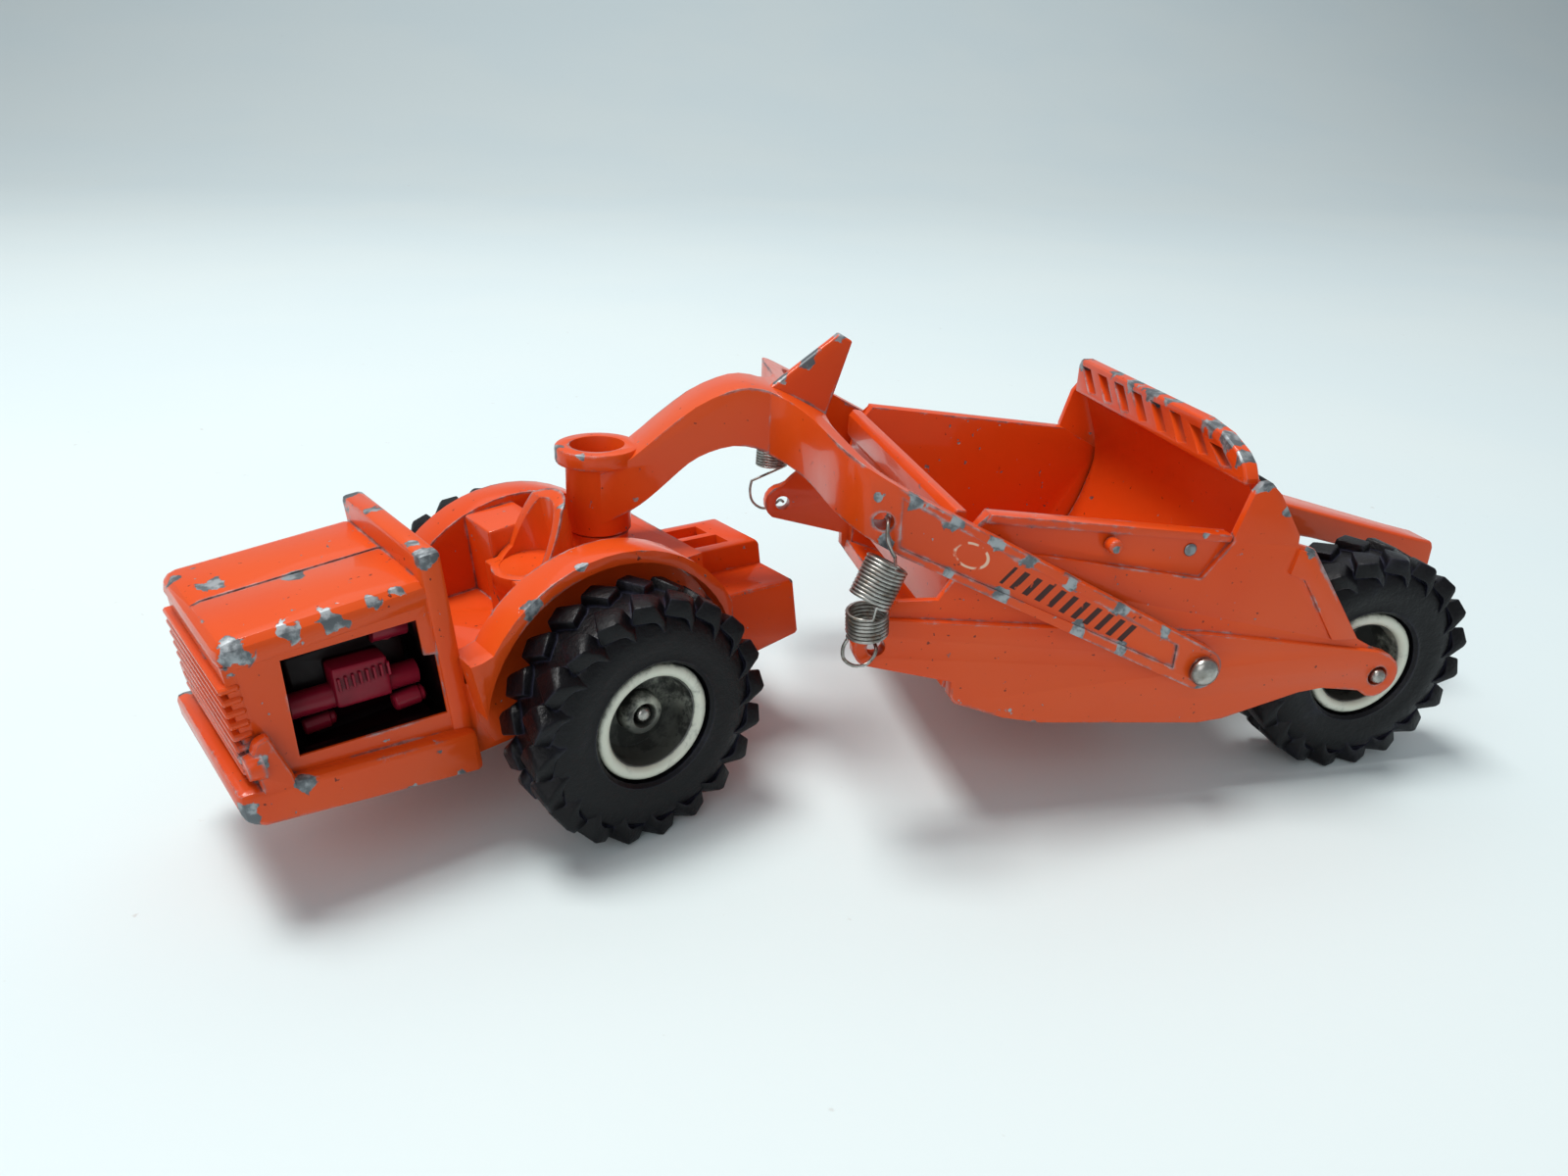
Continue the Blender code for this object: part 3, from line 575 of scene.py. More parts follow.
@dataclass(frozen=True)
class Cream:
    """Cream enamel of the wheel hubs, grimy and rubbed, with painted shade in hollows and towards
    the bottom.
    """

    name: str
    paint: Point = (0.62, 0.64, 0.50)
    bleached: Point = (0.70, 0.72, 0.64)
    grime: Point = (0.035, 0.038, 0.030)
    bare: Point = (0.34, 0.34, 0.33)
    grime_amount: float = 0.35
    low_grime: float = 0.0

    def material(self) -> bpy.types.Material:
        """Build the enamel.

        Returns:
            The material.
        """
        shade = Shade(self.name)
        cloudy = shade.noise(260.0, 4.0, 0.6)
        streaks = shade.noise(900.0, 4.0, 0.7)
        open_air = shade.openness(2.5 * UNIT)
        # Grime from noise, with painted shade where the surface is shut in.
        dirt_and_shade = (cloudy * 0.6 + streaks * 0.4 + self.grime_amount - open_air * 0.25)
        # Painted shade: darker towards the bottom of the wheel.
        height = shade.along(UP, on_toy(0.0, 0.0, TYRE_RADIUS)) / UNIT
        settled = height.between(1.8, -1.6) * self.low_grime
        dirt_and_shade = dirt_and_shade.between(0.48, 0.74).highest(settled)
        chips = (shade.edges(0.3 * UNIT) * 2.0 + streaks).between(0.92, 1.0)
        tinted = shade.blend(cloudy, self.paint, self.bleached)
        colour = shade.blend(chips, shade.blend(dirt_and_shade, tinted, self.grime), self.bare)
        rough = 0.36 + dirt_and_shade * 0.3 + streaks * 0.12
        return shade.finish({"Coat Roughness": 0.2}, Base_Color=colour, Roughness=rough,
                            Metallic=chips * 0.6, Coat_Weight=0.25 - dirt_and_shade * 0.2,
                            Normal=shade.bumped(streaks - chips, 0.4, 0.00005))


@dataclass(frozen=True)
class Steel:
    """Bare steel, dulled by handling."""

    name: str = "handled_steel"
    bright: Point = (0.46, 0.45, 0.42)
    dull: Point = (0.17, 0.16, 0.14)
    rust: Point = (0.16, 0.075, 0.035)
    tarnish: float = 0.45

    def material(self) -> bpy.types.Material:
        """Build the steel.

        Returns:
            The material.
        """
        shade = Shade(self.name)
        cloudy = shade.noise(500.0, 4.0, 0.6)
        fine = shade.noise(2600.0, 3.0, 0.6)
        dulled = (cloudy + self.tarnish - 0.5).between(0.3, 0.7)
        colour = shade.blend(dulled, self.bright, self.dull)
        rust = (fine * 0.6 + cloudy * 0.5 + self.tarnish * 0.1).between(0.66, 0.74)
        colour = shade.blend(rust * 0.7, colour, self.rust)
        return shade.finish(None, Base_Color=colour, Roughness=0.24 + dulled * 0.22 + rust * 0.3,
                            Metallic=1.0 - rust * 0.6,
                            Normal=shade.bumped(fine + cloudy, 0.35, 0.00003))


@dataclass(frozen=True)
class Rubber:
    """Black tyre rubber with a faint bloom and a painted sheen on its high places."""

    name: str = "tyre_rubber"
    black: Point = (0.0022, 0.0020, 0.0030)
    bloom: Point = (0.026, 0.027, 0.046)
    dust: Point = (0.075, 0.075, 0.080)

    def material(self) -> bpy.types.Material:
        """Build the rubber.

        Returns:
            The material.
        """
        shade = Shade(self.name)
        cloudy = shade.noise(170.0, 4.0, 0.6)
        grain = shade.noise(1500.0, 4.0, 0.7)
        raised = shade.edges(0.5 * UNIT)
        # Bloom and painted sheen: a bluish tint on edges and high places.
        bloom = (cloudy * 0.8 + raised * 1.6).between(0.42, 0.80)
        colour = shade.blend(bloom * 0.75, self.black, self.bloom)
        dust = (grain * 0.7 + cloudy * 0.45).between(0.72, 0.86)
        colour = shade.blend(dust * 0.30, colour, self.dust)
        return shade.finish({"Specular IOR Level": 0.22}, Base_Color=colour,
                            Roughness=0.26 + grain * 0.24 + dust * 0.25,
                            Normal=shade.bumped(grain * 0.8 + cloudy * 1.4, 0.8, 0.00016))


@dataclass(frozen=True)
class Plastic:
    """Dark red moulded plastic, with painted shade in its corners, along its middle and low down."""

    name: str = "engine_plastic"
    red: Point = (0.24, 0.007, 0.022)
    deep: Point = (0.030, 0.002, 0.005)
    rubbed: Point = (0.36, 0.03, 0.06)
    unlit: Point = (0.002, 0.001, 0.001)
    # core and tray bound the painted shade: close to the middle, and below the tray.
    core: float = 5.6
    tray: Point = (-32.0, 0.0, 18.6)

    def material(self) -> bpy.types.Material:
        """Build the plastic.

        Returns:
            The material.
        """
        shade = Shade(self.name)
        cloudy = shade.noise(220.0, 4.0)
        fine = shade.noise(1400.0, 3.0)
        # Painted shade: corners go towards the deep colour, along with random darker clouds.
        corner = shade.openness(1.8 * UNIT).between(0.8, 0.2)
        colour = shade.blend(corner.highest(cloudy.between(0.45, 0.8) * 0.4), self.red, self.deep)
        worn = shade.edges(0.35 * UNIT).between(0.05, 0.30)
        colour = shade.blend(worn * 0.35, colour, self.rubbed)
        # Painted shade, near black and without coat, over the middle of the engine and below the
        # tray.
        sideways = Vector(JOINTS["front_wheel_left_spin"]["axis"]).normalized()
        out = shade.along(sideways, on_tractor(0.0, 0.0, TYRE_RADIUS)).size() / UNIT
        low = shade.along(UP, on_tractor(*self.tray)) / UNIT
        shadow = out.between(self.core + 0.6, self.core).highest(low.between(0.6, 0.0))
        colour = shade.blend(shadow * 0.97, colour, self.unlit)
        return shade.finish({"Specular IOR Level": 0.18}, Base_Color=colour,
                            Roughness=0.26 + fine * 0.2 + corner * 0.2,
                            Coat_Weight=(0.12 + cloudy * 0.1) * (1.0 - shadow),
                            Normal=shade.bumped(fine * 0.5 + cloudy, 0.4, 0.00006))


@dataclass(frozen=True)
class Ground:
    """Pale matt board that the toy stands on."""

    name: str = "pale_board"
    pale: Point = (0.64, 0.735, 0.75)
    warm: Point = (0.66, 0.745, 0.75)
    speck: Point = (0.45, 0.43, 0.40)

    def material(self) -> bpy.types.Material:
        """Build the board.

        Returns:
            The material.
        """
        shade = Shade(self.name)
        broad = shade.noise(7.0, 3.0)
        fine = shade.noise(420.0, 4.0)
        colour = shade.blend(broad.between(0.35, 0.65), self.pale, self.warm)
        colour = shade.blend(fine.between(0.72, 0.78) * 0.5, colour, self.speck)
        return shade.finish(None, Base_Color=colour, Roughness=0.62 + fine * 0.15,
                            Normal=shade.bumped(fine, 0.2, 0.0001))


# ---------------------------------------------------------------- modelling
class Edit:
    """Edit mode on one mesh object, everything else deselected."""

    def __init__(self, thing: bpy.types.Object) -> None:
        """Choose the object to edit."""
        self.thing = thing

    def __enter__(self) -> "Edit":
        """Enter edit mode.

        Returns:
            Itself.
        """
        choose(self.thing)
        bpy.ops.object.mode_set(mode="EDIT")
        return self

    def __exit__(self, *unused: object) -> None:
        """Leave edit mode."""
        bpy.ops.object.mode_set(mode="OBJECT")

    def everything(self) -> None:
        """Select the whole mesh."""
        bpy.ops.mesh.select_all(action="SELECT")

    def faces_towards(self, direction: Point, least: float = 0.9) -> None:
        """Select the faces that look one way.

        Args:
            direction: unit vector.
            least: smallest agreement of a face's normal with it.
        """
        bpy.ops.mesh.select_all(action="DESELECT")
        bpy.ops.mesh.select_mode(type="FACE")
        bpy.ops.object.mode_set(mode="OBJECT")
        way = Vector(direction)
        for face in self.thing.data.polygons:
            face.select = face.normal.dot(way) > least
        bpy.ops.object.mode_set(mode="EDIT")


def newest(name: str) -> bpy.types.Object:
    """Name the object an operator has just added.

    Args:
        name: its new name.

    Returns:
        The object.
    """
    made = bpy.context.view_layer.objects.active
    made.name = name
    made.data.name = name
    return made


def deselect() -> None:
    """Leave nothing selected."""
    bpy.ops.object.select_all(action="DESELECT")


def choose(thing: bpy.types.Object) -> None:
    """Make one object the only selected and the active one.

    Args:
        thing: the object.
    """
    deselect()
    thing.select_set(True)
    bpy.context.view_layer.objects.active = thing


def apply_modifier(thing: bpy.types.Object, kind: str, **settings: object) -> None:
    """Add a modifier with its settings and apply it.

    Args:
        thing: the object.
        kind: the modifier's type.
        settings: its properties.
    """
    choose(thing)
    step = thing.modifiers.new(kind.lower(), kind)
    for key, value in settings.items():
        setattr(step, key, value)
    bpy.ops.object.modifier_apply(modifier=step.name)


def rounded(thing: bpy.types.Object, width: float, segments: int = 2, angle: float = 30.0) -> None:
    """Round the sharp edges; width is in drawing units."""
    apply_modifier(thing, "BEVEL", width=width * UNIT, segments=segments, limit_method="ANGLE",
                   angle_limit=math.radians(angle), use_clamp_overlap=True)


def smoothed(thing: bpy.types.Object, angle: float = 35.0) -> None:
    """Shade smooth across all but the sharp edges."""
    choose(thing)
    bpy.ops.object.shade_smooth_by_angle(angle=math.radians(angle))


def outward(thing: bpy.types.Object) -> None:
    """Merge doubles and make every face look outwards.

    Args:
        thing: the object.
    """
    with Edit(thing) as edit:
        edit.everything()
        bpy.ops.mesh.remove_doubles(threshold=WELD)
        bpy.ops.mesh.normals_make_consistent(inside=False)


def settled(thing: bpy.types.Object, place: Matrix) -> None:
    """Move a piece and apply that to its mesh.

    Args:
        thing: the piece, with its own middle at the origin.
        place: where it goes and how it is turned.
    """
    thing.matrix_world = place
    choose(thing)
    bpy.ops.object.transform_apply(location=True, rotation=True, scale=True)


def placed(thing: bpy.types.Object, centre: Vector, axis: Vector, spin: float = 0.0) -> None:
    """Stand a piece modelled about Z on a place and an axis, and apply that to its mesh.

    Args:
        thing: the piece, with its own middle at the origin.
        centre: where the origin goes, in metres.
        axis: where its Z goes.
        spin: turn about its own axis first, in radians.
    """
    turn = UP.rotation_difference(axis).to_matrix().to_4x4()
    settled(thing, Matrix.Translation(centre) @ turn @ Matrix.Rotation(spin, 4, "Z"))


def joined(name: str, pieces: Sequence[bpy.types.Object]) -> bpy.types.Object:
    """Join several meshes into one object.

    Args:
        name: the joined object's name.
        pieces: the meshes; the first one takes in the rest.

    Returns:
        The joined object.
    """
    deselect()
    for piece in pieces:
        piece.select_set(True)
    bpy.context.view_layer.objects.active = pieces[0]
    bpy.ops.object.join()
    return newest(name)


def turned(name: str, profile: Sequence[tuple[float, float]], sides: int = 64,
           ring: bool = True) -> bpy.types.Object:
    """Turn a profile about Z, ring by ring.

    Args:
        name: the object's name.
        profile: (radius, height) points in drawing units.
        sides: how many sides the turned shape has.
        ring: True for a closed ring's section, False for a solid closed by caps.

    Returns:
        The new object.
    """
    deselect()
    radius, height = profile[0]
    bpy.ops.mesh.primitive_circle_add(vertices=sides, radius=radius * UNIT, fill_type="NOTHING",
                                      location=(0.0, 0.0, height * UNIT))
    made = newest(name)
    bpy.ops.object.transform_apply(location=True)
    with Edit(made) as edit:
        edit.everything()
        if not ring:
            bpy.ops.mesh.edge_face_add()
        route = [*profile[1:], profile[0]] if ring else profile[1:]
        for wide, high in route:
            move = {"value": (0.0, 0.0, (high - height) * UNIT)}
            if ring:
                bpy.ops.mesh.extrude_edges_move(TRANSFORM_OT_translate=move)
            else:
                bpy.ops.mesh.extrude_region_move(TRANSFORM_OT_translate=move)
            grow = wide / radius
            bpy.ops.transform.resize(value=(grow, grow, 1.0), center_override=(0.0, 0.0, 0.0))
            radius, height = wide, high
    outward(made)
    return made


def painted(thing: bpy.types.Object, material: bpy.types.Material) -> None:
    """Give a mesh one material and no other."""
    thing.data.materials.clear()
    thing.data.materials.append(material)


def dressed(thing: bpy.types.Object, material: bpy.types.Material, body: str,
            nodes: Iterable[str] = ()) -> bpy.types.Object:
    """Give a finished piece its material and body, and hide the nodes it stands for.

    Args:
        thing: the piece.
        material: its finish.
        body: the body it rides on.
        nodes: the frame's nodes it replaces.

    Returns:
        The piece.
    """
    painted(thing, material)
    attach(thing, body)
    if nodes:
        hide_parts(*nodes)
    LOG.info("%s rides %s, %d faces", thing.name, body, len(thing.data.polygons))
    return thing


def recast(node: str, name: str, round_width: float, segments: int = 2) -> bpy.types.Object:
    """Copy a node's mesh, merge it and round its edges.

    Args:
        node: the frame's node.
        name: the new piece's name.
        round_width: edge radius in drawing units, or 0 to leave the edges.
        segments: steps across each rounded edge.

    Returns:
        The new piece.
    """
    mesh = frame["nodes"][node].data.copy()
    thing = bpy.data.objects.new(name, mesh)
    bpy.context.scene.collection.objects.link(thing)
    with Edit(thing) as edit:
        edit.everything()
        bpy.ops.mesh.customdata_custom_splitnormals_clear()
        bpy.ops.mesh.remove_doubles(threshold=WELD)
        bpy.ops.mesh.dissolve_limited(angle_limit=math.radians(0.6))
    if round_width:
        rounded(thing, round_width, segments, 28.0)
    smoothed(thing)
    return thing


# ---------------------------------------------------------------- sub-assemblies
@dataclass
class Wheel:
    """One wheel: lugged tyre, rolled rim and a dish with grime and painted shade."""

    axle: str
    side: Side
    tread_top: float = TYRE_RADIUS
    carcass: float = 13.35
    half_width: float = 4.4
    bore: float = 6.95
    lugs: int = 20
    lug_width: float = 2.55
    slant: float = math.radians(30)
    tyre_sides: int = 96
    rim_sides: int = 80
    dish_sides: int = 72
    stopped_at: float = 0.13                                  # radians

    def __post_init__(self) -> None:
        """Read the wheel's place from the frame."""
        self.label = f"{self.axle}_{{}}_{self.side.label}"
        self.body = f"{self.axle}_wheel_{self.side.label}"
        joint = JOINTS[f"{self.body}_spin"]
        axis = Vector(joint["axis"]).normalized()
        self.outwards = axis * self.side.value
        low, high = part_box(self.label.format("tyre"))
        self.centre = (low + high) / 2

    def carcass_ring(self) -> bpy.types.Object:
        """Turn the tyre without its lugs.

        Returns:
            The ring, about Z.
        """
        half, top = self.half_width, self.carcass
        profile = [(self.bore + 0.25, half - 0.55), (7.6, half - 0.18), (8.1, half - 0.30),
                   (9.2, half), (10.6, half), (11.8, half - 0.25), (12.6, half - 0.8),
                   (top - 0.1, half - 1.7), (top, half - 2.6), (top + 0.1, 0.0),
                   (top, -half + 2.6), (top - 0.1, -half + 1.7), (12.6, -half + 0.8),
                   (11.8, -half + 0.25), (10.6, -half), (9.2, -half), (8.0, -half + 0.3),
                   (self.bore + 0.25, -half + 0.5)]
        return turned("carcass", profile, self.tyre_sides)

    def lug(self) -> bpy.types.Object:
        """Model one slanted lug of the tread's outer half, with its foot down the shoulder.

        Returns:
            The lug, beside the Z axis.
        """
        deselect()
        length = self.half_width + 0.1
        low, high = self.carcass - 0.9, self.tread_top
        middle = Vector(((low + high) / 2, 0.0, 0.35 + length / 2)) * UNIT
        bpy.ops.mesh.primitive_cube_add(size=1.0, location=middle)
        lug = newest("lug_row")
        lug.scale = Vector((high - low, self.lug_width, length - 0.7)) * UNIT
        bpy.ops.object.transform_apply(location=True, scale=True)
        with Edit(lug) as edit:
            edit.everything()
            bpy.ops.transform.rotate(value=self.slant, orient_axis="X", center_override=middle)
            edit.faces_towards((0.0, -math.sin(self.slant), math.cos(self.slant)), 0.8)
            bpy.ops.mesh.extrude_region_move(TRANSFORM_OT_translate={
                "value": (-0.35 * UNIT, -0.55 * UNIT, 0.75 * UNIT)})
            bpy.ops.mesh.extrude_region_move(TRANSFORM_OT_translate={
                "value": (-1.7 * UNIT, -0.50 * UNIT, 0.30 * UNIT)})
            bpy.ops.transform.resize(value=(0.7, 0.62, 0.6))
            edit.faces_towards((1.0, 0.0, 0.0))
            bpy.ops.transform.resize(value=(1.0, 0.84, 0.98))
        for corner in lug.data.vertices:
            corner.co.z = min(corner.co.z, self.half_width * UNIT)
            reach = math.hypot(corner.co.x, corner.co.y)
            over = reach / (self.tread_top * UNIT)
            if over > 1.0:
                corner.co.x /= over
                corner.co.y /= over
        outward(lug)
        rounded(lug, 0.22, 2, 25.0)
        return lug

    def lug_row(self, upper: bool) -> bpy.types.Object:
        """Spin a lug round one half of the tread.

        Args:
            upper: True for the outer half of the tread.

        Returns:
            The row of lugs.
        """
        lug = self.lug()
        with Edit(lug) as edit:
            edit.everything()
            bpy.ops.mesh.spin(steps=self.lugs, dupli=True, angle=math.tau,
                              center=(0.0, 0.0, 0.0), axis=(0.0, 0.0, 1.0))
            edit.everything()
            bpy.ops.mesh.remove_doubles(threshold=WELD)
            if not upper:
                bpy.ops.transform.resize(value=(1.0, 1.0, -1.0), center_override=(0, 0, 0))
                bpy.ops.transform.rotate(value=math.pi / self.lugs, orient_axis="Z",
                                         center_override=(0, 0, 0))
                bpy.ops.mesh.normals_make_consistent(inside=False)
        return lug

    def rim(self) -> bpy.types.Object:
        """Turn the rolled rim and the barrel behind it.

        Returns:
            The rim, about Z.
        """
        half = self.half_width
        profile = [(5.35, half - 1.9), (5.45, half - 1.1), (5.7, half - 0.75), (6.1, half - 0.62),
                   (6.55, half - 0.68), (6.85, half - 0.95), (self.bore, half - 1.3),
                   (self.bore, -half + 0.6), (5.6, -half + 0.6), (5.35, -half + 1.2)]
        ring = turned(self.label.format("rim"), profile, self.rim_sides)
        rounded(ring, 0.08, 2, 40.0)
        return ring

    def dish(self) -> bpy.types.Object:
        """Turn the dished web and the boss round the axle.

        Returns:
            The dish, about Z.
        """
        half = self.half_width
        web = half - 4.9
        profile = [(1.3, half - 3.0), (1.5, half - 2.75), (2.0, half - 2.75), (2.3, half - 3.0),
                   (2.45, half - 3.6), (2.5, web + 0.25), (3.0, web), (4.6, web + 0.15),
                   (5.15, web + 0.8), (5.24, web + 1.9), (5.28, half - 1.3), (5.36, half - 1.1),
                   (5.42, half - 1.3), (5.42, web - 0.9), (1.3, web - 0.9)]
        return turned(self.label.format("dish"), profile, self.dish_sides)

    def build(self, rubber: bpy.types.Material, rim: bpy.types.Material,
              dish: bpy.types.Material) -> None:
        """Make the wheel and put it in its place.

        Args:
            rubber: finish of the tyre.
            rim: finish of the rim.
            dish: finish of the dish.
        """
        name = self.label.format("lugged_tyre")
        tyre = joined(name, [self.carcass_ring(), self.lug_row(True), self.lug_row(False)])
        smoothed(tyre, 40.0)
        pieces = ((tyre, rubber, "black_rubber", self.label.format("tyre")),
                  (self.rim(), rim, "cream_enamel", self.label.format("hub")),
                  (self.dish(), dish, "cream_enamel", None))
        for piece, material, slot, node in pieces:
            placed(piece, self.centre, self.outwards, self.stopped_at * self.side.value)
            smoothed(piece, 40.0)
            dressed(piece, material, self.body, (node,) if node else ())


@dataclass
class Rod:
    """A turned steel piece along an axis: an axle, pin, peg or rivet."""

    node: str
    body: str
    profile: tuple[tuple[float, float], ...]
    centre: Vector
    axis: Vector
    slot: str = "bright_steel"
    rounding: float = 0.06

    def build(self, material: bpy.types.Material) -> None:
        """Turn the piece and put it in its place.

        Args:
            material: its finish.
        """
        made = turned(f"{self.node}_turned", self.profile, 40, ring=False)
        rounded(made, self.rounding, 2, 35.0)
        placed(made, self.centre, self.axis)
        smoothed(made, 40.0)
        dressed(made, material, self.body, (self.node,))


@dataclass(frozen=True)
class Winding:
    """One close-wound stretch of a spring; y is the distance out from the middle of the toy."""

    start: Point
    end: Point
    radius: float
    turns: float


@dataclass
class Spring:
    """A close-wound tension spring from the yoke's arm to the bowl's lug."""

    side: Side
    kinked: tuple[Winding, ...] = (Winding((27.1, 27.5, 34.6), (25.2, 28.0, 30.6), 2.15, 11),
                                   Winding((25.3, 27.4, 29.3), (25.5, 27.2, 26.6), 2.1, 6.25))
    straight: tuple[Winding, ...] = (Winding((26.9, 26.2, 33.9), (26.6, 26.1, 27.8), 2.15, 15.25),)
    wire: float = 0.40
    per_turn: int = 20
    arm_hole: tuple[float, float] = (26.9, 38.4)
    lug_hole: tuple[float, float] = (27.65, 23.2)
    arm_face: float = 26.6
    band_face: float = 24.2

    def wound(self, winding: Winding) -> list[Vector]:
        """Points of a winding's helix, in drawing units.

        Args:
            winding: its ends, radius and turns.

        Returns:
            The points.
        """
        mirror = Vector((1, self.side.value, 1))
        first, last = Vector(winding.start) * mirror, Vector(winding.end) * mirror
        along = (last - first).normalized()
        across = along.cross(Vector((0, 1, 0))).normalized()
        third = along.cross(across)
        count = round(winding.turns * self.per_turn)
        points = []
        for step in range(count + 1):
            angle = math.tau * step / self.per_turn - self.side.value * math.pi / 2
            middle = first.lerp(last, step / count)
            around = math.cos(angle) * across + math.sin(angle) * third
            points.append(middle + winding.radius * around)
        return points

    def smooth(self, points: Sequence[Vector], steps: int = 5) -> list[Vector]:
        """Points on a smooth curve through the given ones.

        Args:
            points: places in drawing units.
            steps: points to each stretch.

        Returns:
            The points, with the given ones among them.
        """
        ends = [points[0], *points, points[-1]]
        curve = []
        for a, b, c, d in zip(ends, ends[1:], ends[2:], ends[3:]):
            for step in range(steps):
                t = step / steps
                curve.append(0.5 * (2 * b + (c - a) * t + (2 * a - 5 * b + 4 * c - d) * t ** 2
                                    + (3 * b - a - 3 * c + d) * t ** 3))
        return [*curve, points[-1]]

    def top_hook(self) -> list[Vector]:
        """Wire from inside the arm's hole, out over its lip and down to the winding.

        Returns:
            The hook's places in drawing units.
        """
        x, z = self.arm_hole
        out = self.side.value
        return [Vector((x + dx, out * (self.arm_face + dy), z + dz)) for dx, dy, dz in
                ((0.5, -1.5, 0.2), (0.3, -0.4, 0.35), (0.0, 0.6, 0.0), (-0.1, 1.0, -1.0),
                 (0.25, 1.15, -2.2), (0.8, 1.2, -3.2))]

    def foot_hook(self) -> list[Vector]:
        """Wire from the winding round in a loop and through the lug's hole.

        Returns:
            The hook's places in drawing units.
        """
        x, z = self.lug_hole
        out = self.side.value
        return [Vector((x + dx, out * (self.band_face + dy), z + dz)) for dx, dy, dz in
                ((-3.9, 2.0, 2.3), (-4.2, 1.5, 1.0), (-3.9, 1.1, -0.5), (-2.7, 0.9, -1.5),
                 (-1.3, 0.8, -1.5), (-0.4, 0.6, -0.7), (0.0, 0.0, -0.1), (0.1, -1.6, 0.2))]

    def route(self) -> list[Vector]:
        """The wire's whole route in drawing units.

        Returns:
            The points from the arm to the lug.
        """
        windings = self.kinked if self.side is Side.LEFT else self.straight
        coils = [point for winding in windings for point in self.wound(winding)]
        return [*self.smooth(self.top_hook()), *coils, *self.smooth(self.foot_hook())]

    def build(self, material: bpy.types.Material) -> None:
        """Draw the wire between the yoke and the bowl.

        Args:
            material: the wire's finish.
        """
        route = self.route()
        curve = bpy.data.curves.new(f"tension_spring_{self.side.label}", "CURVE")
        curve.dimensions = "3D"
        curve.bevel_depth = self.wire / 2 * UNIT
        curve.bevel_resolution = 2
        curve.use_fill_caps = True
        line = curve.splines.new("POLY")
        line.points.add(len(route) - 1)
        for knot, point in zip(line.points, route):
            knot.co = (*on_toy(*point), 1.0)
        thing = bpy.data.objects.new(curve.name, curve)
        bpy.context.scene.collection.objects.link(thing)
        choose(thing)
        bpy.ops.object.convert(target="MESH")
        outward(thing)
        smoothed(thing, 60.0)
        painted(thing, material)
        out = self.side.value
        tuple(on_toy(self.arm_hole[0], out * self.arm_face, 37.0))
        tuple(on_toy(self.lug_hole[0], out * self.band_face, 24.4))
        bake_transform(thing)
        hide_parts(f"bowl_spring_{self.side.label}")
        LOG.info("%s drawn with %d points", thing.name, len(route))


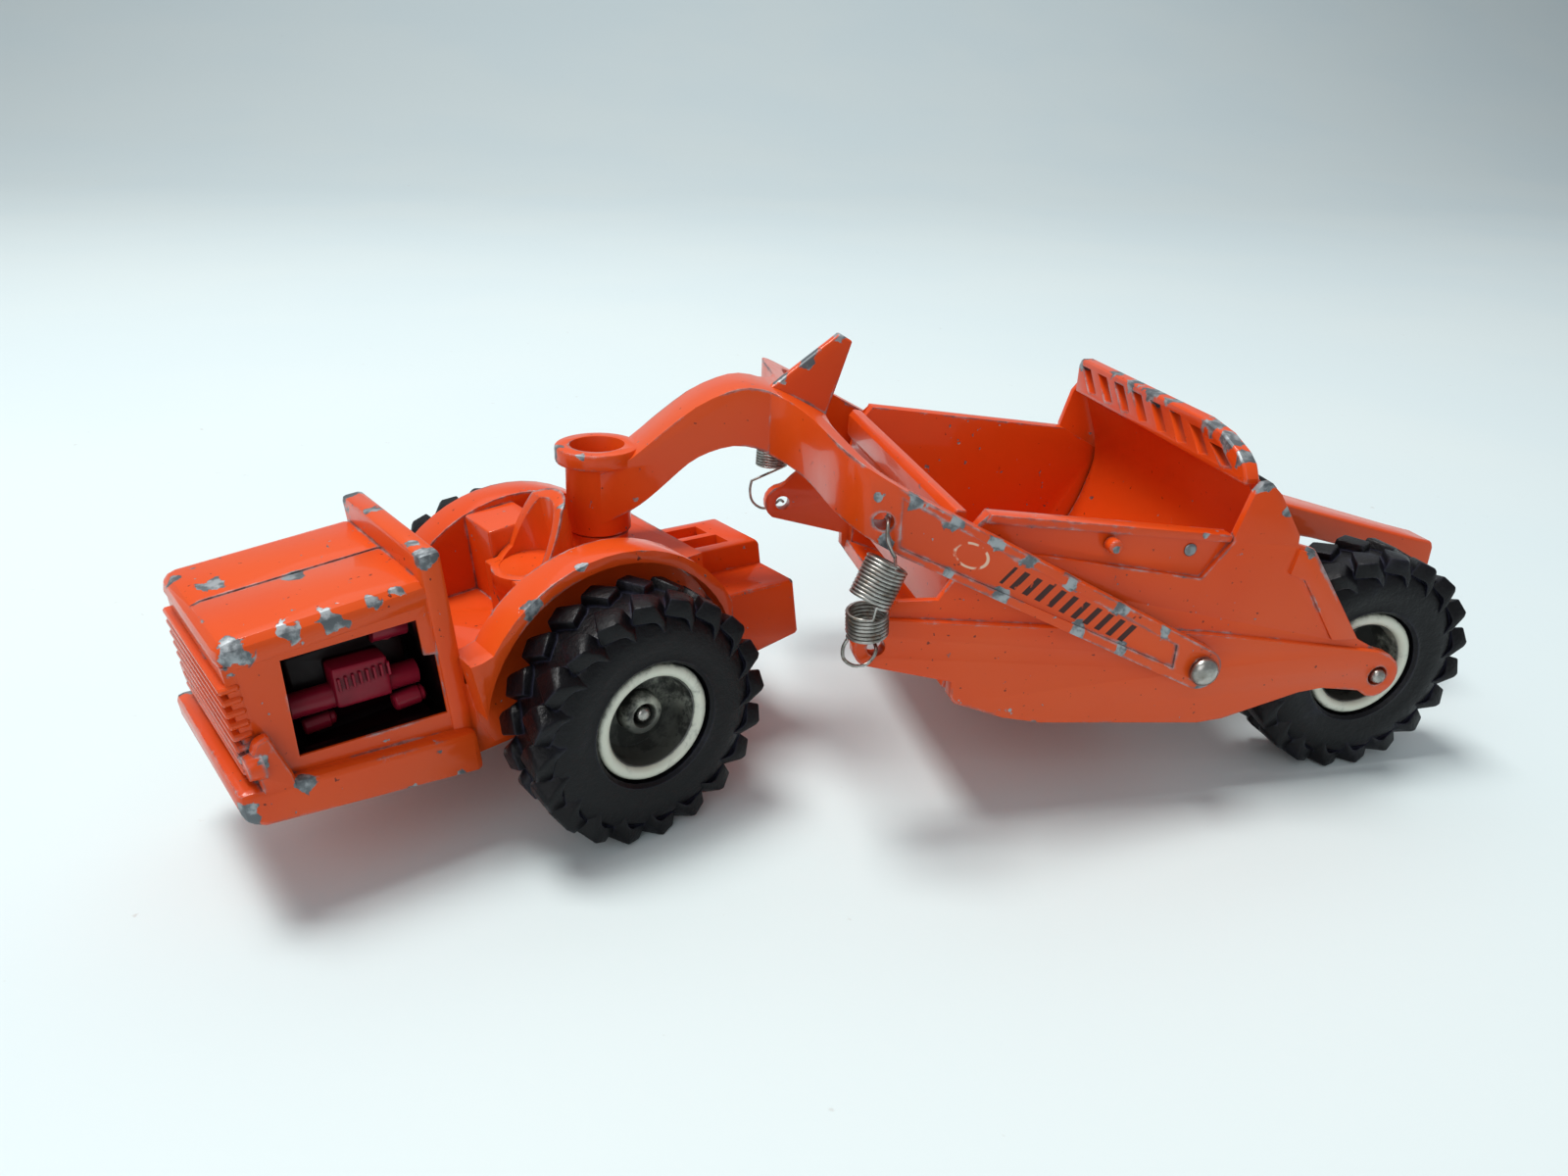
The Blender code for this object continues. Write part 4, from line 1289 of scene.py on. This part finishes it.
@dataclass
class Tractor:
    """The tractor's castings, engine and small steel parts."""

    ribs: int = 8
    rib_pitch: float = 0.72
    first_rib: float = -33.6
    rib_size: Point = (0.30, 0.5, 1.5)
    rib_seat: tuple[float, float] = (8.35, 25.1)              # out and up
    filters: tuple[Point, ...] = ((-35.8, 5.6, 20.5), (-26.9, 7.3, 20.4))
    chips: tuple[tuple[Point, float], ...] = (
        ((-42.3, -10.3, 33.0), 2.2), ((-42.9, -9.9, 31.2), 1.4), ((-37.4, -10.4, 33.5), 1.6),
        ((-33.2, -10.5, 33.2), 2.0), ((-29.3, -10.3, 34.0), 1.4), ((-26.6, -10.4, 33.9), 1.0),
        ((-33.5, -0.9, 34.4), 1.6), ((-40.5, 3.2, 34.4), 2.1), ((-43.0, 7.6, 33.8), 1.3),
        ((-23.2, -10.6, 36.8), 2.1), ((-23.0, -7.5, 37.0), 1.5), ((-23.4, 10.4, 36.9), 2.4),
        ((-23.2, 4.2, 37.0), 1.4), ((-44.9, -12.2, 17.6), 2.1), ((-39.7, -12.3, 18.4), 1.6),
        ((-30.0, -12.4, 12.8), 1.3), ((-25.0, -12.4, 11.9), 1.2), ((-44.9, 12.0, 19.0), 1.6),
        ((-5.3, -4.7, 35.2), 1.3), ((-14.5, -13.9, 29.0), 1.6), ((-8.3, -13.8, 31.7), 0.9),
        ((-43.0, -11.9, 22.0), 1.3), ((21.3, -11.5, 19.2), 0.9))

    def enamel(self) -> bpy.types.Material:
        """The tractor's worn enamel."""
        spots = tuple(Spot(on_tractor(*at), reach * UNIT) for at, reach in self.chips)
        return HoodEnamel(spots=spots).material()

    def casting(self, material: bpy.types.Material) -> None:
        """Round the tractor's casting, the baseplate and the kingpin post.

        Args:
            material: the enamel.
        """
        for node, name, width in (("tractor_casting", "tractor_body", 0.16),
                                  ("tractor_baseplate", "tractor_underplate", 0.10),
                                  ("kingpin_post", "kingpin", 0.12)):
            dressed(recast(node, name, width), material, "tractor", (node,))

    def engine(self, material: bpy.types.Material) -> None:
        """Round the engine moulding and add its ribs and canisters.

        Args:
            material: the plastic.
        """
        block = recast("engine_block", "engine_moulding", 0.12)
        dressed(block, material, "tractor", ("engine_block",))
        for side in Side:
            out = side.value
            ribs = [self.rib(self.first_rib + self.rib_pitch * step, out)
                    for step in range(self.ribs)]
            filters = [self.filter(x, out * y, z) for x, y, z in self.filters]
            details = joined(f"engine_details_{side.label}", [*ribs, *filters])
            smoothed(details, 35.0)
            dressed(details, material, "tractor")

    def rib(self, x: float, out: int) -> bpy.types.Object:
        """A slim upright rib on the engine's side box.

        Args:
            x: its place along the tractor.
            out: the sign of its side.

        Returns:
            The rib in its place.
        """
        deselect()
        bpy.ops.mesh.primitive_cube_add(size=1.0)
        made = newest("rib")
        made.scale = Vector(self.rib_size) * UNIT
        bpy.ops.object.transform_apply(scale=True)
        with Edit(made) as edit:
            edit.faces_towards((0.0, float(out), 0.0))
            bpy.ops.mesh.inset(thickness=0.06 * UNIT, depth=0.0)
            bpy.ops.transform.translate(value=(0.0, out * 0.08 * UNIT, 0.0))
        rounded(made, 0.07, 2)
        settled(made, self.seat_matrix(x, out * self.rib_seat[0], self.rib_seat[1]))
        return made

    def filter(self, x: float, y: float, z: float) -> bpy.types.Object:
        """A small round canister with a stepped cap, lying along the engine.

        Args:
            x: its place along the tractor.
            y: across it.
            z: above the ground.

        Returns:
            The canister in its place.
        """
        made = turned("canister", ((0.75, -1.7), (1.0, -1.5), (1.05, 1.0), (0.85, 1.1), (0.85, 1.5),
                                   (0.5, 1.75)), 28, ring=False)
        rounded(made, 0.07, 2)
        settled(made, self.seat_matrix(x, y, z) @ Matrix.Rotation(math.radians(90), 4, "Y"))
        return made

    @staticmethod
    def seat_matrix(x: float, y: float, z: float) -> Matrix:
        """Place and turn of a piece that belongs to the tipped and steered tractor."""
        return Matrix.Translation(on_tractor(x, y, z)) @ TRACTOR_TURN.to_4x4()

    def rivets(self, material: bpy.types.Material) -> None:
        """Turn the two rivets under the tractor.

        Args:
            material: their steel.
        """
        for x, place in ((-17.0, "front"), (2.6, "rear")):
            Rod(f"baseplate_rivet_{place}", "tractor",
                ((1.0, -1.3), (1.0, 0.25), (1.9, 0.25), (1.7, 0.62), (1.2, 0.85), (0.5, 0.95)),
                on_tractor(x, 0.0, 11.05), -(TRACTOR_TURN @ UP)).build(material)

    def build(self, steel: bpy.types.Material, plastic: bpy.types.Material) -> None:
        """Make every piece of the tractor.

        Args:
            steel: finish of the rivets.
            plastic: finish of the engine.
        """
        enamel = self.enamel()
        self.casting(enamel)
        self.engine(plastic)
        self.rivets(steel)


@dataclass
class Scraper:
    """The yoke, the bowl and their pins."""

    pivot: tuple[float, float] = (66.3, 18.7)
    yoke_chips: tuple[tuple[Point, float], ...] = (
        ((-4.7, -0.8, 38.9), 1.3), ((-2.2, -4.4, 39.6), 1.1), ((24.5, -0.4, 49.6), 2.0),
        ((28.6, 0.0, 52.0), 1.6), ((21.5, -0.4, 47.2), 1.5), ((30.0, -26.4, 40.6), 1.5),
        ((34.5, -26.4, 38.4), 1.8), ((39.5, -26.4, 35.6), 1.7), ((43.5, -26.4, 33.4), 1.7),
        ((48.5, -26.4, 30.6), 1.8), ((54.6, -26.4, 27.3), 1.5), ((60.6, -26.4, 24.0), 1.2),
        ((27.0, -26.4, 35.9), 1.5), ((34.0, -26.6, 32.4), 0.9), ((40.5, -26.4, 29.3), 1.6),
        ((50.0, -26.4, 24.6), 1.7), ((55.5, -26.4, 21.9), 1.3), ((66.5, -26.6, 16.3), 1.2),
        ((26.2, -25.8, 40.9), 0.9))
    bowl_chips: tuple[tuple[Point, float], ...] = (
        ((72.0, -23.2, 39.6), 1.6), ((75.6, -23.3, 36.6), 1.0), ((79.6, -23.6, 31.5), 1.1),
        ((54.3, -24.6, 33.1), 0.75), ((66.0, -23.2, 34.0), 0.6), ((28.0, -23.6, 20.9), 1.0),
        ((47.5, -24.0, 12.0), 0.7))
    gate_chips: tuple[tuple[Point, float], ...] = (
        ((71.5, 20.8, 43.4), 1.7), ((71.4, 11.5, 44.0), 1.8), ((71.4, 6.5, 44.0), 2.4),
        ((71.4, 1.5, 44.0), 2.4), ((71.4, -3.0, 44.0), 1.9), ((71.4, -12.8, 43.8), 2.4),
        ((71.4, -16.6, 43.0), 2.2), ((71.4, -19.6, 41.8), 1.8))

    @staticmethod
    def spots(places: Iterable[tuple[Point, float]]) -> tuple[Spot, ...]:
        """Turn places in drawing units into chipped spots."""
        return tuple(Spot(on_toy(*at), reach * UNIT) for at, reach in places)

    def yoke(self) -> None:
        """Round and print the gooseneck casting."""
        enamel = ArmEnamel(spots=self.spots(self.yoke_chips)).material()
        dressed(recast("gooseneck", "gooseneck_yoke", 0.12), enamel, "yoke",
                ("gooseneck",))

    def bowl(self) -> None:
        """Round the bowl's castings."""
        enamel = Enamel(name="orange_enamel_bowl", wear=0.75,
                        spots=self.spots(self.bowl_chips)).material()
        for node, name, width in (("bowl_casting", "bowl_body", 0.10), ("apron", "bowl_apron", 0.12),
                                  ("push_frame", "push_beam", 0.14)):
            dressed(recast(node, name, width), enamel, "bowl", (node,))
        gate = Enamel(name="orange_enamel_gate", spots=self.spots(self.gate_chips)).material()
        dressed(recast("tailgate", "grated_tailgate", 0.10), gate, "bowl",
                ("tailgate",))
        for side in Side:
            Rod(f"apron_peg_{side.label}", "bowl",
                ((0.85, 0.0), (0.85, 1.0), (0.80, 1.3), (0.62, 1.44), (0.3, 1.48)),
                on_toy(54.3, side.value * 23.0, 33.5), Vector((0, side.value, 0)),
                "orange_enamel").build(enamel)

    def steel_parts(self, steel: bpy.types.Material, zinc: bpy.types.Material) -> None:
        """Turn the pivot pins and the wall rivets.

        Args:
            steel: finish of the pins.
            zinc: finish of the rivets.
        """
        pin_x, pin_z = self.pivot
        for side in Side:
            label, out = side.label, Vector((0, side.value, 0))
            Rod(f"pivot_pin_{label}", "yoke",
                ((1.1, -5.9), (1.1, 0.05), (1.72, 0.05), (1.72, 0.35), (1.5, 0.75), (1.1, 1.02),
                 (0.6, 1.14), (0.25, 1.16)),
                on_toy(pin_x, side.value * 26.94, pin_z), out).build(steel)
            Rod(f"wall_rivet_{label}", "bowl", ((0.78, 0.0), (0.78, 0.1), (0.6, 0.2), (0.3, 0.22)),
                on_toy(64.5, side.value * 22.68, 32.1), out).build(zinc)

    def build(self, steel: bpy.types.Material, zinc: bpy.types.Material) -> None:
        """Make the yoke and the bowl.

        Args:
            steel: finish of the pins.
            zinc: finish of the rivets.
        """
        self.yoke()
        self.bowl()
        self.steel_parts(steel, zinc)


def axle(node: str, body: str, joint: str, reach: float, steel: bpy.types.Material) -> None:
    """Turn an axle with domed ends.

    Args:
        node: the axle's node.
        body: the body it is fixed to.
        joint: a wheel joint on its line.
        reach: half its length in drawing units.
        steel: its finish.
    """
    tip = ((0.3, reach - 0.02), (0.62, reach - 0.12), (0.84, reach - 0.34), (0.94, reach - 0.68))
    profile = (*[(r, -h) for r, h in tip], *reversed(tip))
    low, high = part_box(node)
    Rod(node, body, profile, (low + high) / 2,
        Vector(JOINTS[joint]["axis"]).normalized()).build(steel)


# ---------------------------------------------------------------- studio
@dataclass(frozen=True)
class Lamp:
    """A square soft light; places and sizes in metres, power in watts."""

    name: str
    place: Point
    target: Point
    size: float
    power: float
    colour: Point

    def hang(self) -> None:
        """Put the light up and aim it."""
        lamp = bpy.data.lights.new(self.name, "AREA")
        lamp.size = self.size
        lamp.energy = self.power
        lamp.color = self.colour
        stand = bpy.data.objects.new(self.name, lamp)
        stand.location = self.place
        aim = Vector(self.target) - Vector(self.place)
        stand.rotation_euler = aim.to_track_quat("-Z", "Y").to_euler()
        bpy.context.scene.collection.objects.link(stand)


@dataclass
class Studio:
    """Pale board, soft lights and the camera."""

    lamps: tuple[Lamp, ...] = (
        Lamp("key", (-0.20, 0.06, 0.72), (0.0, 0.0, 0.01), 0.26, 4.8, (1.0, 0.99, 0.97)),
        Lamp("fill", (-0.35, -0.62, 0.42), (0.0, 0.0, 0.01), 0.60, 1.5, (0.97, 0.98, 1.0)),
        Lamp("backdrop", (0.25, 0.75, 0.75), (0.25, 1.1, 0.0), 1.2, 3.2, (0.96, 0.98, 1.0)))
    sky: Point = (0.90, 0.95, 1.0)
    sky_strength: float = 0.36
    board_size: float = 3.2
    board_steps: int = 24
    bend_from: float = 0.60
    bend: float = 0.5
    eye: Point = (-8.239, -129.989, 78.707)
    heading: float = 13.497
    tilt: float = 66.274
    roll: float = 2.282
    lens: float = 26.38

    def floor(self) -> None:
        """Lay the board and bend its far edge up."""
        deselect()
        bpy.ops.mesh.primitive_grid_add(x_subdivisions=self.board_steps,
                                        y_subdivisions=self.board_steps, size=self.board_size,
                                        location=(0.0, 0.0, 0.0))
        board = newest("pale_board")
        for corner in board.data.vertices:
            far = max(0.0, corner.co.y - self.bend_from)
            corner.co.z = far * far * self.bend
        smoothed(board, 60.0)
        painted(board, Ground().material())

    def lights(self) -> None:
        """Hang a broad key light, a fill, one over the backdrop and a low sky."""
        for lamp in self.lamps:
            lamp.hang()
        world = bpy.data.worlds.new("soft_room")
        world.use_nodes = True
        background = world.node_tree.nodes["Background"]
        background.inputs["Color"].default_value = (*self.sky, 1.0)
        background.inputs["Strength"].default_value = self.sky_strength
        bpy.context.scene.world = world
        bpy.context.scene.view_settings.view_transform = "Standard"

    def camera(self) -> None:
        """Stand the camera."""
        view = bpy.data.cameras.new("studio_camera")
        view.lens = self.lens
        view.sensor_width = 36.0
        view.clip_start = 0.005
        stand = bpy.data.objects.new("studio_camera", view)
        turn = (Matrix.Rotation(math.radians(-self.heading), 4, "Z")
                @ Matrix.Rotation(math.radians(self.tilt), 4, "X")
                @ Matrix.Rotation(math.radians(self.roll), 4, "Z"))
        stand.matrix_world = Matrix.Translation(on_toy(*self.eye)) @ turn
        bpy.context.scene.collection.objects.link(stand)
        bpy.context.scene.camera = stand

    def build(self) -> None:
        """Set the studio up."""
        self.camera()
        self.floor()
        self.lights()


def main() -> None:
    """Build every sub-assembly in turn."""
    logging.basicConfig(level=logging.INFO, format="%(name)s: %(message)s")
    Studio().build()
    steel = Steel().material()
    spring_wire = Steel(name="spring_wire", bright=(0.50, 0.49, 0.46), tarnish=0.5).material()
    rubber = Rubber().material()
    rim = Cream("cream_rim", grime_amount=0.20).material()
    # The dish: dark paint with grime, and painted shade towards its bottom.
    dish = Cream("grimy_dish", paint=(0.26, 0.27, 0.19), grime=(0.012, 0.013, 0.010),
                 grime_amount=0.40, low_grime=0.92).material()
    Tractor().build(steel, Plastic().material())
    zinc = Steel(name="bare_zinc", bright=(0.30, 0.32, 0.33), dull=(0.13, 0.14, 0.15)).material()
    Scraper().build(steel, zinc)
    axle("front_axle", "tractor", "front_wheel_left_spin", 19.4, steel)
    axle("rear_axle", "bowl", "rear_wheel_left_spin", 24.9, steel)
    for side in Side:
        Spring(side).build(spring_wire)
        for name in ("front", "rear"):
            Wheel(name, side).build(rubber, rim, dish)


if __name__ == "__main__":
    main()
